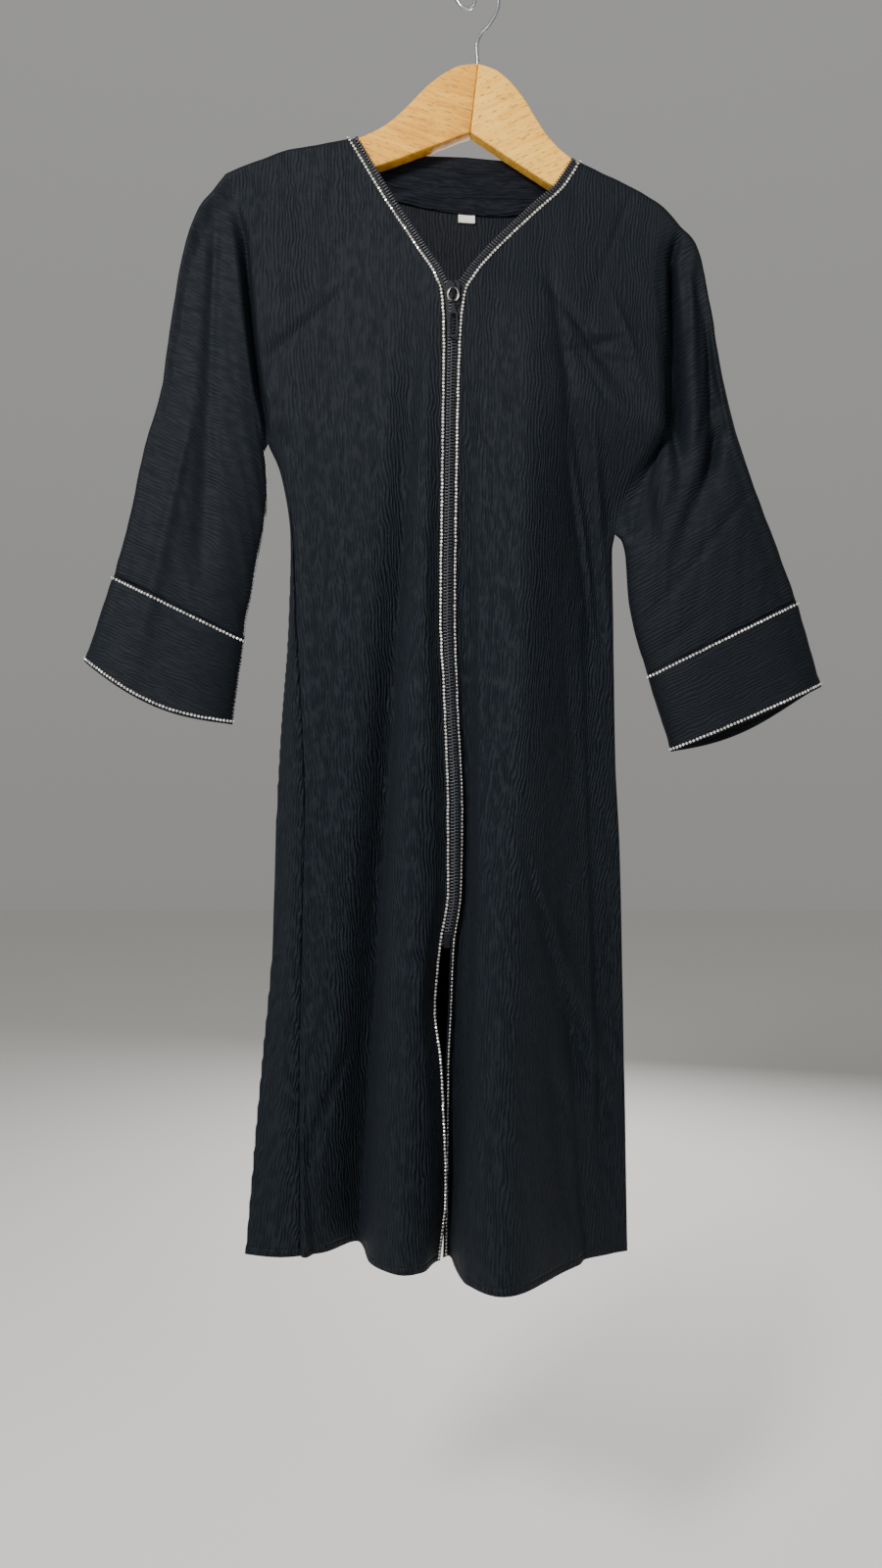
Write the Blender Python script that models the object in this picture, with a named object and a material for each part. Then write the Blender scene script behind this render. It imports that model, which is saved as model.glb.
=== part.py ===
"""A child's long zip-front tunic in black crinkle crepe, on a flat wooden hanger.

The front faces -Y, up is +Z, and +X is the wearer's left. The origin is the highest point
inside the hanger's hook, where a rail carries it. Sizes are in millimetres and become metres
when a mesh is made. A "drop" is a distance straight down from the origin.
"""
import math

import bmesh
import bpy
from mathutils import Vector

MM = 0.001

# Walls and clearances
CLOTH = 1.2
CUFF_CLOTH = 2.0
TAPE = 1.0
FACING = 1.0
SEAM_GAP = 0.3
SEAM_APART = {"front": -0.12, "back": 0.12}
LAY_GAP = 0.4
OVER_WOOD = 1.6

# The garment, as drops and places across
HEM_DROP = 1061.0
UNDERARM_EDGE_DROP = 403.0
ZIP_END_DROP = 808.0
RIGHT_NECK_X = -104.0
LEFT_NECK_X = 84.0
VEE_DROP = 280.0
FACE_DEPTH = 9.6

# The hanger, in its own frame: the middle of its underside is its zero, before it is tilted
HANGER_TILT = math.radians(6.5)
HANGER_MIDDLE = (-5.0, -144.6)
HANGER_THICK = 12.0
HANGER_ROUNDING = 3.4
WOOD_STEP = 9.0
# out from the middle, height of the top edge
HANGER_TOP = (
    (0, 56.5), (14, 53.5), (27, 45.5), (40, 33), (52, 17.5), (64, 3.5), (76, -6.5),
    (90, -14.5), (108, -21), (126, -27), (148, -36), (163, -44), (168, -50),
)
# out from the middle, height of the underside
HANGER_UNDER = ((0, 0), (37, -19), (74, -37), (105, -49), (135, -56), (160, -60), (168, -57))

# The hook: across, height of the wire's middle
HOOK_WIRE = 3.0
HOOK_RADIUS = 20.0
HOOK_STEM = ((1.2, -88.1), (0.4, -70.0), (2.8, -62.5), (11.0, -52.5), (18.0, -38.0))
HOOK_CURL = ((-19.0, -27.0), (-15.2, -34.2), (-11.5, -38.6), (-6.8, -39.9), (-2.2, -37.0), (-0.6, -31.5))

# Zip edges of the fronts: drop, across, depth
RIGHT_EDGE = (
    (149, -104, 0), (171, -91, -9.6), (198, -75, -11), (246, -45, -17), (268, -32, -21.6),
    (282, -27, -22), (310, -25, -22), (403, -26, -24), (544, -28, -26), (610, -25, -27),
    (700, -22, -27), (763, -22, -27), (808, -29, -26), (857, -33, -26), (900, -28, -25),
    (1003, -24, -20), (1061, -30, -16),
)
LEFT_EDGE = (
    (170, 84, 0), (193, 67, -9.6), (210, 49, -12), (250, 10, -18), (268, -4, -21.6),
    (282, -11.5, -22), (310, -15, -22), (403, -18, -24), (544, -20, -26), (610, -18, -27),
    (700, -14, -27), (763, -15, -27), (808, -21, -26), (857, -23, -25), (900, -25, -21),
    (1003, -26, -14), (1061, -27, -11),
)
# Where body passes into sleeve on the front: drop, across, depth
RIGHT_ARM = (
    (178, -205, 0), (207, -196, -7), (235, -189, -4), (262, -187, 0), (290, -185, 2),
    (346, -180, 2), (372, -176, 1), (397, -171, 0),
)
LEFT_ARM = (
    (211, 158, 0), (228, 152, -7.5), (246, 146, -9), (270, 144, -11), (301, 148, -12),
    (328, 151, -13), (386, 152, -13), (401, 146, -9), (425, 132, -1), (444, 122, 2), (471, 114, 3),
)
# The same lines on the back: drop, across, depth
RIGHT_BACK_ARM = ((178, -205, 0), (207, -198, 9), (262, -192, 10), (346, -182, 10), (380, -175, 7), (397, -171, 0))
LEFT_BACK_ARM = ((211, 158, 0), (246, 150, 10), (340, 142, 12), (430, 127, 13), (458, 117, 10), (471, 114, 3))
# Side seams below the underarm: drop, across, depth
RIGHT_SIDE = (
    (397, -171, 0), (427, -158, -3), (476, -150, -6), (549, -147, -8), (633, -142, -10),
    (693, -140, -12), (796, -142, -13), (923, -144, -13), (1061, -144, -8),
)
LEFT_SIDE = ((471, 114, 3), (485, 111.5, 3), (528, 112, 2), (658, 114, 2), (741, 118, 2), (846, 120, 2), (1061, 124, 2))
# Outline of the back where it wraps forward on the right: drop, across, depth
RIGHT_OUTLINE = (
    (397, -171, 0), (426, -159.5, 3), (474, -153, 6), (547, -155, 6), (632, -161, 4),
    (692, -164, 3), (798, -167, 1), (926, -178, -1), (1061, -189, -4),
)
# The back panel's depth behind the hanger's middle: drop, depth
BACK_DEPTH = ((150, 9.5), (230, 11), (400, 18), (700, 28), (1061, 32))
# Back neckline between its turns over the hanger: across, depth, drop
BACK_NECK = ((-74, 9.8, 155.5), (-42, 9.8, 156.5), (-9, 9.8, 157.5), (24, 9.8, 160.5), (54, 9.8, 165.5))
# Each turn at a neck point: how far in, share of the way to the back face, and how far down
NECK_TURN = ((0.8, 0.66, 0.9), (5.5, 0.98, 3.6))
# Sleeves: share of the length, overarm across and drop, underarm across and drop,
# half depth of the tube, and how far the back wraps over the overarm edge
RIGHT_SLEEVE = (
    (0.00, -205, 178, -171, 397, 9, 0), (0.06, -214, 189, -174.5, 405, 9.4, 0),
    (0.15, -228, 207, -173, 418, 10, 0), (0.30, -240, 244, -172, 441, 11, 0), (0.45, -250, 302, -175, 467, 12, 0),
    (0.60, -258, 355, -180, 492, 13, 0), (0.75, -271, 399, -184, 517, 14, 0),
    (0.90, -284, 459, -189, 541, 15, 0), (1.00, -297, 506, -191, 558, 15, 0),
)
LEFT_SLEEVE = (
    (0.00, 158, 211, 114, 471, 9, 0), (0.06, 167, 219, 119.5, 477, 9.4, 0.4),
    (0.15, 180, 234, 122.5, 488, 10, 2), (0.30, 192, 279, 124, 505, 12, 6), (0.45, 200, 328, 125, 523, 13, 7),
    (0.60, 212, 380, 128, 541, 14, 7), (0.75, 228, 428, 132, 558, 15, 4),
    (0.90, 247, 484, 138, 577, 16, 1), (1.00, 262, 527, 141, 587, 16, 0),
)
# Cuff edges: overarm across and drop, underarm across and drop, half depth,
# and how far the front and the back of the edge sag below the straight line
RIGHT_CUFF = (-321, 576, -201, 628, 17, 12, 4)
LEFT_CUFF = (282, 597, 161, 650, 18, 1, 11)

# Folds: across and drop where one starts, across and drop where it ends, its half width
# towards -X and +X where it ends, and its depth at the start and the end (+ is away)
RIGHT_FOLDS = (
    # lobe beside the zip
    (-36, 300, -57, 1061, 24, 19, -2, -28),
    # trough between the two lobes
    (-52, 300, -109, 1061, 18, 13, 2, 33),
    # crease across the chest
    (-126, 290, -168, 328, 7, 7, 2, 3),
    # drag from the underarm
    (-162, 425, -112, 520, 10, 10, 3, 1),
    # slanted crease above the hem
    (-116, 922, -143, 990, 8, 8, 3, 4),
)
LEFT_FOLDS = (
    # wide lobe over the left front
    (40, 330, 20, 1061, 42, 53, -5, -70),
    # valley from the chest to the waist
    (64, 295, 103, 545, 9, 9, 2, 8),
    # ridge beside it
    (98, 430, 112, 590, 8, 8, -4, -2),
    # slanted ridge and its valley
    (50, 768, 111, 932, 10, 10, -4, -7),
    (40, 750, 74, 885, 8, 8, 3, 4),
    # hollow below the overhang at the underarm
    (132, 432, 119, 455, 10, 10, 6, 3),
    # dimple on the chest
    (82, 306, 110, 345, 8, 8, 3, 3),
    # soft dent near the hem
    (60, 925, 70, 1000, 12, 12, 5, 5),
)
LEFT_SLEEVE_FOLDS = (
    # deep valley behind the overhang, and the hollow it runs into
    (160, 262, 163, 380, 7, 6, 16, 14),
    (146, 402, 125, 450, 14, 17, 12, 7),
    # lit ridge down the sleeve, and the trough outside it
    (174, 250, 177, 385, 7, 6, -5, -3),
    (191, 262, 192, 405, 6, 7, 8, 7),
    (192, 408, 168, 480, 9, 9, 7, 2),
)
RIGHT_SLEEVE_FOLDS = (
    (-214, 250, -222, 470, 9, 9, 3, 4),
    (-240, 420, -262, 520, 8, 8, -2, -3),
)
BACK_FOLDS = (
    (-22, 330, -36, 1061, 30, 34, 3, 15),
    (-98, 380, -122, 1061, 24, 22, 2, 10),
    (52, 360, 76, 1061, 28, 24, 2, 13),
    (14, 430, 20, 1061, 18, 18, -1, -7),
    (-64, 440, -80, 1061, 16, 16, -1, -5),
    (-150, 250, -104, 430, 12, 12, 3, 4),
    (118, 280, 84, 450, 12, 12, 3, 4),
)
# How far the fronts and the wrapped side of the back bulge between their lines
FRONT_BULGE = 3.0
WRAP_BULGE = 4.0
FOLD_START_WIDTH = 0.5
FOLD_END_FADE = 34.0
FOLD_EDGE_FADE = 0.12

# Mesh steps: two roll rows over the shoulder, then shares of the way from shoulder (0)
# to underarm (1) to hem (2)
ROLL_ROWS = ((0.6, 1.6), (0.92, 5.5))
UPPER_STEPS = (0.1, 0.2, 0.3, 0.4, 0.5, 0.62, 0.76, 0.9, 1.0)
LOWER_STEPS = (1.08, 1.17, 1.27, 1.38, 1.5, 1.6155, 1.69, 1.78, 1.89, 2.0)
UNDERARM_ROW = len(ROLL_ROWS) + len(UPPER_STEPS)
SLEEVE_STEPS = (0.05, 0.1, 0.17, 0.26, 0.38, 0.52, 0.68, 0.84, 1.0)
CUFF_STEPS = (0.5, 1.0)
FRONT_COLUMNS = (0.0, 0.03, 0.08, 0.16, 0.26, 0.37, 0.47, 0.55, 0.64, 0.74, 0.85, 0.94, 1.0)
BACK_WRAP_COLUMNS = (0.0, 0.018, 0.04, 0.065, 0.09, 0.115, 0.145, 0.18, 0.215, 0.25, 0.285, 0.32)
WRAP_ROUNDING = 17.0
SIDE_ROUNDING = 15.0
# Share of a sleeve over which the body's line and its depth fade out
ARM_LINE_REACH = 0.35
ARM_DEPTH_REACH = 0.1

# The zip: slider, pull ring and tab
ZIP_SHOWN = 8.0
SLIDER_X = -19.3
SLIDER_TOP = -273.5
SLIDER_BOTTOM = -288.4
SLIDER_FACE = -24.4
SLIDER_PLATE = 1.8
RING_TOP = -280.4
RING_Y = -25.6
RING_WIRE = 1.6
RING_HALF_WIDTH = 4.2
RING_HALF_HEIGHT = 5.2
TAB_WIDTH = 7.3
TAB_THICK = 1.6
TAB_SHOWN = 20.5
TAB_LINK = 7.2


def clear_scene():
    for old in list(bpy.data.objects):
        bpy.data.objects.remove(old, do_unlink=True)


def material(name, colour, roughness, metallic=0.0):
    made = bpy.data.materials.new(name)
    made.use_nodes = True
    shader = made.node_tree.nodes["Principled BSDF"]
    shader.inputs["Base Color"].default_value = (*colour, 1.0)
    shader.inputs["Roughness"].default_value = roughness
    shader.inputs["Metallic"].default_value = metallic
    return made


def place_mesh(name, mesh, finish, origin=(0.0, 0.0, 0.0)):
    mesh.materials.append(finish)
    made = bpy.data.objects.new(name, mesh)
    made.location = Vector(origin) * MM
    bpy.context.collection.objects.link(made)
    return made


def mix(a, b, share):
    return a + (b - a) * share


def ease(value):
    """Smooth step from 0 at 0 to 1 at 1."""
    value = min(1.0, max(0.0, value))
    return value * value * (3.0 - 2.0 * value)


def follow(table, at):
    """The values of a table's other columns at one value of its first, on smooth curves."""
    keys = [row[0] for row in table]
    at = min(keys[-1], max(keys[0], at))
    span = max(i for i in range(len(keys) - 1) if keys[i] <= at)
    width = keys[span + 1] - keys[span]
    share = (at - keys[span]) / width
    values = []
    for column in range(1, len(table[0])):
        rises = [
            (table[i + 1][column] - table[i][column]) / (keys[i + 1] - keys[i])
            for i in range(len(keys) - 1)
        ]
        slopes = []
        for i in (span, span + 1):
            if i == 0 or i == len(keys) - 1:
                slopes.append(rises[min(i, len(rises) - 1)])
            elif rises[i - 1] * rises[i] <= 0:
                slopes.append(0.0)
            else:
                slopes.append(2 * rises[i - 1] * rises[i] / (rises[i - 1] + rises[i]))
        low = table[span][column]
        high = table[span + 1][column]
        h = ease(share)
        bend_in = share * (1 - share) ** 2 * width
        bend_out = -share * share * (1 - share) * width
        values.append(low + (high - low) * h + slopes[0] * bend_in + slopes[1] * bend_out)
    return values


def line_point(table, drop):
    across, depth = follow(table, drop)
    return Vector((across, depth, -drop))


def tilted(out, height):
    """A point of the hanger's own frame, tilted and placed: across and height."""
    across = HANGER_MIDDLE[0] + out * math.cos(HANGER_TILT) + height * math.sin(HANGER_TILT)
    up = HANGER_MIDDLE[1] - out * math.sin(HANGER_TILT) + height * math.cos(HANGER_TILT)
    return across, up


def shoulder_height(across):
    """Height of the cloth's middle where it lies over the hanger, or just past its tip."""
    cloth_rise = CLOTH / 2 + OVER_WOOD
    rows = [tilted(out * side, height) for side in (-1, 1) for out, height in HANGER_TOP]
    rows = [(x, z + cloth_rise) for x, z in rows if abs(x - HANGER_MIDDLE[0]) > 70]
    rows.append((RIGHT_ARM[0][1], -float(RIGHT_ARM[0][0])))
    rows.append((LEFT_ARM[0][1], -float(LEFT_ARM[0][0])))
    rows = [row for row in rows if LEFT_ARM[0][1] >= row[0] >= RIGHT_ARM[0][1]]
    rows.sort()
    return follow(rows, across)[0]


def relief(folds, across, drop):
    """Depth that a table of folds adds at one place."""
    total = 0.0
    for x1, drop1, x2, drop2, minus_width, plus_width, depth1, depth2 in folds:
        run = Vector((x2 - x1, drop2 - drop1))
        reach = Vector((across - x1, drop - drop1))
        along = reach.dot(run) / run.length_squared
        held = min(1.0, max(0.0, along))
        beyond = (along - held) * run.length
        off = (reach.x * run.y - reach.y * run.x) / run.length
        width = plus_width if off * (1 if run.y >= 0 else -1) > 0 else minus_width
        width *= mix(FOLD_START_WIDTH, 1.0, held)
        bump = math.exp(-(off / width) ** 2 - (beyond / FOLD_END_FADE) ** 2)
        total += mix(depth1, depth2, held) * bump
    return total


def edge_window(share):
    return ease(share / FOLD_EDGE_FADE) * ease((1.0 - share) / FOLD_EDGE_FADE)


def edge_drop(neck_drop, step):
    """Drop of a row at the zip edge: both fronts' rows are level from the V's point down."""
    if step <= 0.5:
        return mix(neck_drop, VEE_DROP, step / 0.5)
    if step <= 1.0:
        return mix(VEE_DROP, UNDERARM_EDGE_DROP, (step - 0.5) / 0.5)
    return mix(UNDERARM_EDGE_DROP, HEM_DROP, step - 1.0)


def outer_drop(arm, step):
    if step <= 1.0:
        return mix(arm[0][0], arm[-1][0], step)
    return mix(arm[-1][0], HEM_DROP, step - 1.0)


def warp_column(side, column, step):
    """Columns of the right front crowd along its trough, wherever that runs."""
    if side == "left":
        return column
    middle = follow(((0.0, 0.35), (0.5, 0.2), (1.0, 0.27), (2.0, 0.62)), step)[0]
    if column < 0.5:
        return column * middle / 0.5
    return middle + (column - 0.5) * (1.0 - middle) / 0.5


FRONTS = {
    "right": (RIGHT_EDGE, RIGHT_ARM, RIGHT_SIDE, RIGHT_FOLDS, RIGHT_NECK_X),
    "left": (LEFT_EDGE, LEFT_ARM, LEFT_SIDE, LEFT_FOLDS, LEFT_NECK_X),
}


def shoulder_point(side, column):
    neck = FRONTS[side][4]
    arm = FRONTS[side][1]
    across = mix(neck, arm[0][1], warp_column(side, column, 0.0))
    return Vector((across, 0.0, shoulder_height(across)))


def front_point(side, column, step):
    """A point of a front below the shoulder: step 0.1 to 1 at the underarm to 2 at the hem."""
    edge, arm, seam, folds, neck = FRONTS[side]
    share = warp_column(side, column, step)
    inner = line_point(edge, edge_drop(edge[0][0], step))
    drop = outer_drop(arm, step)
    outer = line_point(arm if step <= 1.0 else seam, drop)
    point = inner.lerp(outer, share)
    if step < 1.0:
        start = shoulder_point(side, column)
        chord = mix(shoulder_height(neck), shoulder_height(arm[0][1]), share)
        point.z += (start.z - chord) * (1.0 - step) ** 2
    point.y -= FRONT_BULGE * math.sin(math.pi * share) * ease(step)
    point.y += relief(folds, point.x, -point.z) * edge_window(share)
    return point


def rolled(start, onward, face_depth, share, distance):
    """A point of the roll over the hanger's top, from the ridge towards one face."""
    way = Vector((onward.x - start.x, 0.0, onward.z - start.z)).normalized()
    depth = mix(start.y, face_depth, share)
    return Vector((start.x, 0.0, start.z)) + way * distance + Vector((0.0, depth, 0.0))


def back_width_point(share, step):
    """A point of the back below the underarm, from the right seam round the outline."""
    right_drop = outer_drop(RIGHT_ARM, step)
    left_drop = outer_drop(LEFT_ARM, step)
    seam = line_point(RIGHT_SIDE, right_drop)
    outline = line_point(RIGHT_OUTLINE, right_drop)
    left = line_point(LEFT_SIDE, left_drop)
    wrap = max(0.0, seam.x - outline.x)
    width = left.x - outline.x
    along = share * (wrap + width)
    drop = mix(right_drop, left_drop, share)
    if along < wrap:
        part = along / wrap
        depth = mix(seam.y, outline.y, ease(part)) - WRAP_BULGE * math.sin(math.pi * part)
        return Vector((seam.x - along, depth, -drop))
    out = along - wrap
    across = outline.x + out
    back = follow(BACK_DEPTH, drop)[0]
    back += relief(BACK_FOLDS, across, drop) * edge_window(out / width)
    start = 1.0 - max(0.0, 1.0 - out / WRAP_ROUNDING) ** 2
    end = 1.0 - max(0.0, 1.0 - (width - out) / SIDE_ROUNDING) ** 2
    depth = mix(outline.y, back, math.sqrt(start))
    depth = mix(left.y, depth, math.sqrt(end))
    return Vector((across, depth, -drop))


def back_point(top_share, top_lift, low_share, step):
    """A point of the back at a step; the top row's spacing passes into the lower rows'."""
    if step >= 1.0:
        return back_width_point(low_share, step)
    share = mix(top_share, low_share, ease(step))
    right = line_point(RIGHT_BACK_ARM, outer_drop(RIGHT_BACK_ARM, step))
    left = line_point(LEFT_BACK_ARM, outer_drop(LEFT_BACK_ARM, step))
    point = right.lerp(left, share)
    point.z += top_lift * (1.0 - step) ** 2
    inside = ease(share / 0.12) * ease((1.0 - share) / 0.12)
    body = follow(BACK_DEPTH, -point.z)[0] + relief(BACK_FOLDS, point.x, -point.z) * ease(step)
    near_underarm = back_width_point(low_share, 1.0).y
    point.y = mix(point.y, mix(body, near_underarm, ease((step - 0.8) / 0.2)), inside)
    return point


def tube_hump(share):
    """Depth of a sleeve's half across its width, 1 in the middle and 0 at its edges."""
    return (1.0 - abs(2.0 * share - 1.0) ** 3) ** 0.6


def sleeve_point(side, facing, reach, share, arm_point, chord_point):
    """A point of a sleeve half; facing is -1 on the front and 1 on the back."""
    table = RIGHT_SLEEVE if side == "right" else LEFT_SLEEVE
    over_x, over_drop, under_x, under_drop, half, wrap = follow(table, reach)
    over = Vector((over_x, 0.0, -over_drop))
    under = Vector((under_x, 0.0, -under_drop))
    point = over.lerp(under, share)
    near_body = max(0.0, 1.0 - reach / ARM_LINE_REACH) ** 2
    point += (Vector((arm_point.x, 0.0, arm_point.z)) - chord_point) * near_body
    at_body = max(0.0, 1.0 - reach / ARM_DEPTH_REACH) ** 2
    depth = facing * half * tube_hump(share)
    if facing < 0:
        folds = RIGHT_SLEEVE_FOLDS if side == "right" else LEFT_SLEEVE_FOLDS
        inside = ease(share / 0.15) * ease((1.0 - share) / 0.1)
        depth += relief(folds, point.x, -point.z) * inside
    point.y = mix(depth, arm_point.y, at_body)
    return point, wrap


def triangles(rows, turned):
    """Triangles between rows of point numbers, facing -Y where the rows run down and to +X."""
    made = []
    for upper, lower in zip(rows, rows[1:]):
        for j in range(len(upper) - 1):
            corners = [upper[j], lower[j], lower[j + 1], upper[j + 1]]
            if turned:
                corners.reverse()
            a, b, c, d = corners
            made += [[a, b, c], [a, c, d]]
    return made


class Cloth:
    """The middle surface of every panel, on shared points, with a piece's name on each face.

    A front or back is cut in one with its sleeves. It is built as a chest, a skirt and
    sleeves, parted by a seam's gap, because such simpler pieces leave the hollows between
    them open where one long bent piece would not.
    """

    def __init__(self):
        self.points = []
        self.faces = []
        self.underarms = []

    def add(self, point):
        self.points.append(Vector(point))
        return len(self.points) - 1

    def grid(self, piece, rows, turned=False):
        self.faces += [(piece, corners) for corners in triangles(rows, turned)]

    def body(self, panel, rows, turned=False):
        """A body's grid, parted at the underarm into its chest and its skirt."""
        self.grid(panel + "_chest", rows[:UNDERARM_ROW + 1], turned)
        self.grid(panel + "_skirt", rows[UNDERARM_ROW:], turned)

    def sleeve(self, chest, sleeve, rows, turned=False):
        """A sleeve half's grid. The chest keeps its first ring, past the bend at the arm."""
        self.grid(chest, [row[:2] for row in rows], turned)
        self.grid(sleeve, [row[1:] for row in rows], turned)

    def normals(self):
        totals = [Vector() for _ in self.points]
        for _, corners in self.faces:
            a, b, c = (self.points[k] for k in corners)
            facing = (b - a).cross(c - a)
            for k in corners:
                totals[k] += facing
        for k in self.underarms:
            totals[k].y = 0.0
        return [total.normalized() for total in totals]


def front_rows(cloth, side):
    """Rows of one front from shoulder to hem, as point numbers."""
    shoulder = [shoulder_point(side, column) for column in FRONT_COLUMNS]
    first = [front_point(side, column, UPPER_STEPS[0]) for column in FRONT_COLUMNS]
    rows = [[cloth.add(point) for point in shoulder]]
    for share, distance in ROLL_ROWS:
        rows.append([
            cloth.add(rolled(top, low, -FACE_DEPTH, share, distance))
            for top, low in zip(shoulder, first)
        ])
    for step in UPPER_STEPS + LOWER_STEPS:
        rows.append([cloth.add(front_point(side, column, step)) for column in FRONT_COLUMNS])
    return rows


def back_columns(cloth, fronts):
    """The back's top row, and each column's share of the width at top and below."""
    right_top = list(reversed(fronts["right"][0]))
    left_top = fronts["left"][0]
    neck = [(across, depth, -drop) for across, depth, drop in BACK_NECK]
    for inward, share, down in NECK_TURN:
        for side, neck_x, place in ((1, RIGHT_NECK_X, 0), (-1, LEFT_NECK_X, len(neck))):
            height = shoulder_height(neck_x) - down
            neck.insert(place, (neck_x + side * inward, FACE_DEPTH * share, height))
    neck.sort()
    top = right_top + [cloth.add(point) for point in neck] + left_top
    right = cloth.points[top[0]]
    left = cloth.points[top[-1]]
    columns = []
    wrapped = len(BACK_WRAP_COLUMNS)
    for number, key in enumerate(top):
        point = cloth.points[key]
        top_share = (point.x - right.x) / (left.x - right.x)
        lift = point.z - mix(right.z, left.z, top_share)
        if number < wrapped:
            low_share = BACK_WRAP_COLUMNS[number]
        else:
            beyond = (number - wrapped + 1) / (len(top) - wrapped)
            low_share = mix(BACK_WRAP_COLUMNS[-1], 1.0, beyond)
        columns.append((top_share, lift, low_share))
    return top, columns


def back_rows(cloth, fronts):
    """Rows of the back; its side columns share the fronts' side seams."""
    top, columns = back_columns(cloth, fronts)
    rows = [top]
    first = [back_point(*column, UPPER_STEPS[0]) for column in columns]
    for share, distance in ROLL_ROWS:
        rows.append([
            cloth.add(rolled(cloth.points[key], low, FACE_DEPTH, share, distance))
            for key, low in zip(top, first)
        ])
    for step in UPPER_STEPS:
        rows.append([cloth.add(back_point(*column, step)) for column in columns])
    for step in LOWER_STEPS:
        rows.append([cloth.add(back_point(*column, step)) for column in columns])
    for i in range(len(ROLL_ROWS) + len(UPPER_STEPS), len(rows)):
        rows[i][0] = fronts["right"][i][-1]
        rows[i][-1] = fronts["left"][i][-1]
    return rows


def sleeve_rings(cloth, side, arm_front, arm_back):
    """Rings of a sleeve from body to cuff, front and back, as point numbers."""
    shares = (0.0,) + UPPER_STEPS
    front_rings = [arm_front]
    back_rings = [arm_back]
    top = cloth.points[arm_front[0]]
    bottom = cloth.points[arm_front[-1]]
    flat_top = Vector((top.x, 0.0, top.z))
    flat_bottom = Vector((bottom.x, 0.0, bottom.z))
    for reach in SLEEVE_STEPS:
        rings = []
        for facing, arm in ((-1, arm_front), (1, arm_back)):
            regular = [arm[0]] + list(arm[1 + len(ROLL_ROWS):])
            ring = []
            for share, key in zip(shares, regular):
                chord = flat_top.lerp(flat_bottom, share)
                ring.append(sleeve_point(side, facing, reach, share, cloth.points[key], chord))
            wrap = ring[0][1]
            way = (ring[1][0] - ring[0][0]).normalized()
            start = ring[0][0] + Vector((way.x, 0.0, way.z)) * wrap
            start.y = -0.8 * wrap
            roll = []
            for part, distance in ROLL_ROWS:
                back_off = wrap * (1.75 - part) if facing > 0 else 0.0
                onward = ring[1][0]
                roll.append(rolled(start, onward, facing * FACE_DEPTH, part, distance - back_off))
            points = [start] + roll + [point for point, _ in ring[1:]]
            if facing < 0:
                rings.append([cloth.add(point) for point in points])
            else:
                inner = [cloth.add(point) for point in points[1:-1]]
                rings.append([rings[0][0]] + inner + [rings[0][-1]])
        front_rings.append(rings[0])
        back_rings.append(rings[1])
    return front_rings, back_rings


def cuff_rings(cloth, side, front_seam, back_seam):
    """Closed rings of a cuff, from the seam to the edge."""
    over_x, over_drop, under_x, under_drop, half, front_sag, back_sag = (
        RIGHT_CUFF if side == "right" else LEFT_CUFF
    )
    over = Vector((over_x, 0.0, -over_drop))
    under = Vector((under_x, 0.0, -under_drop))
    seam = front_seam + list(reversed(back_seam[1:-1]))
    count = len(front_seam) - 1
    start = cloth.points[front_seam[0]]
    end = cloth.points[front_seam[-1]]
    rings = [seam + [seam[0]]]
    for step in CUFF_STEPS:
        ring = []
        for number, key in enumerate(seam):
            point = cloth.points[key]
            facing = -1 if number <= count else 1
            share = (point - start).dot(end - start) / (end - start).length_squared
            share = min(1.0, max(0.0, share))
            edge = over.lerp(under, share)
            sag = front_sag if facing < 0 else back_sag
            edge.z -= sag * math.sin(math.pi * share)
            edge.y = facing * half * tube_hump(share)
            ring.append(cloth.add(point.lerp(edge, step)))
        rings.append(ring + [ring[0]])
    return rings


def sew_cloth():
    """The whole middle surface, and the point numbers that the trims are made from."""
    cloth = Cloth()
    fronts = {side: front_rows(cloth, side) for side in ("right", "left")}
    back = back_rows(cloth, fronts)
    for side in ("right", "left"):
        mirrored = side == "right"
        cloth.body("front_" + side, fronts[side], turned=mirrored)
        arm_front = [row[-1] for row in fronts[side][:UNDERARM_ROW + 1]]
        arm_back = [row[0 if mirrored else -1] for row in back[:UNDERARM_ROW + 1]]
        cloth.underarms.append(arm_front[-1])
        front_rings, back_rings = sleeve_rings(cloth, side, arm_front, arm_back)
        across_front = [list(column) for column in zip(*front_rings)]
        across_back = [list(column) for column in zip(*back_rings)]
        front = "front_" + side
        cloth.sleeve(front + "_chest", front + "_sleeve", across_front, turned=mirrored)
        cloth.sleeve("back_chest", "back_sleeve_" + side, across_back, turned=not mirrored)
        rings = cuff_rings(cloth, side, front_rings[-1], back_rings[-1])
        cloth.grid("cuff_" + side, rings, turned=not mirrored)
    cloth.body("back", back, turned=True)
    return cloth, fronts, back


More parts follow.
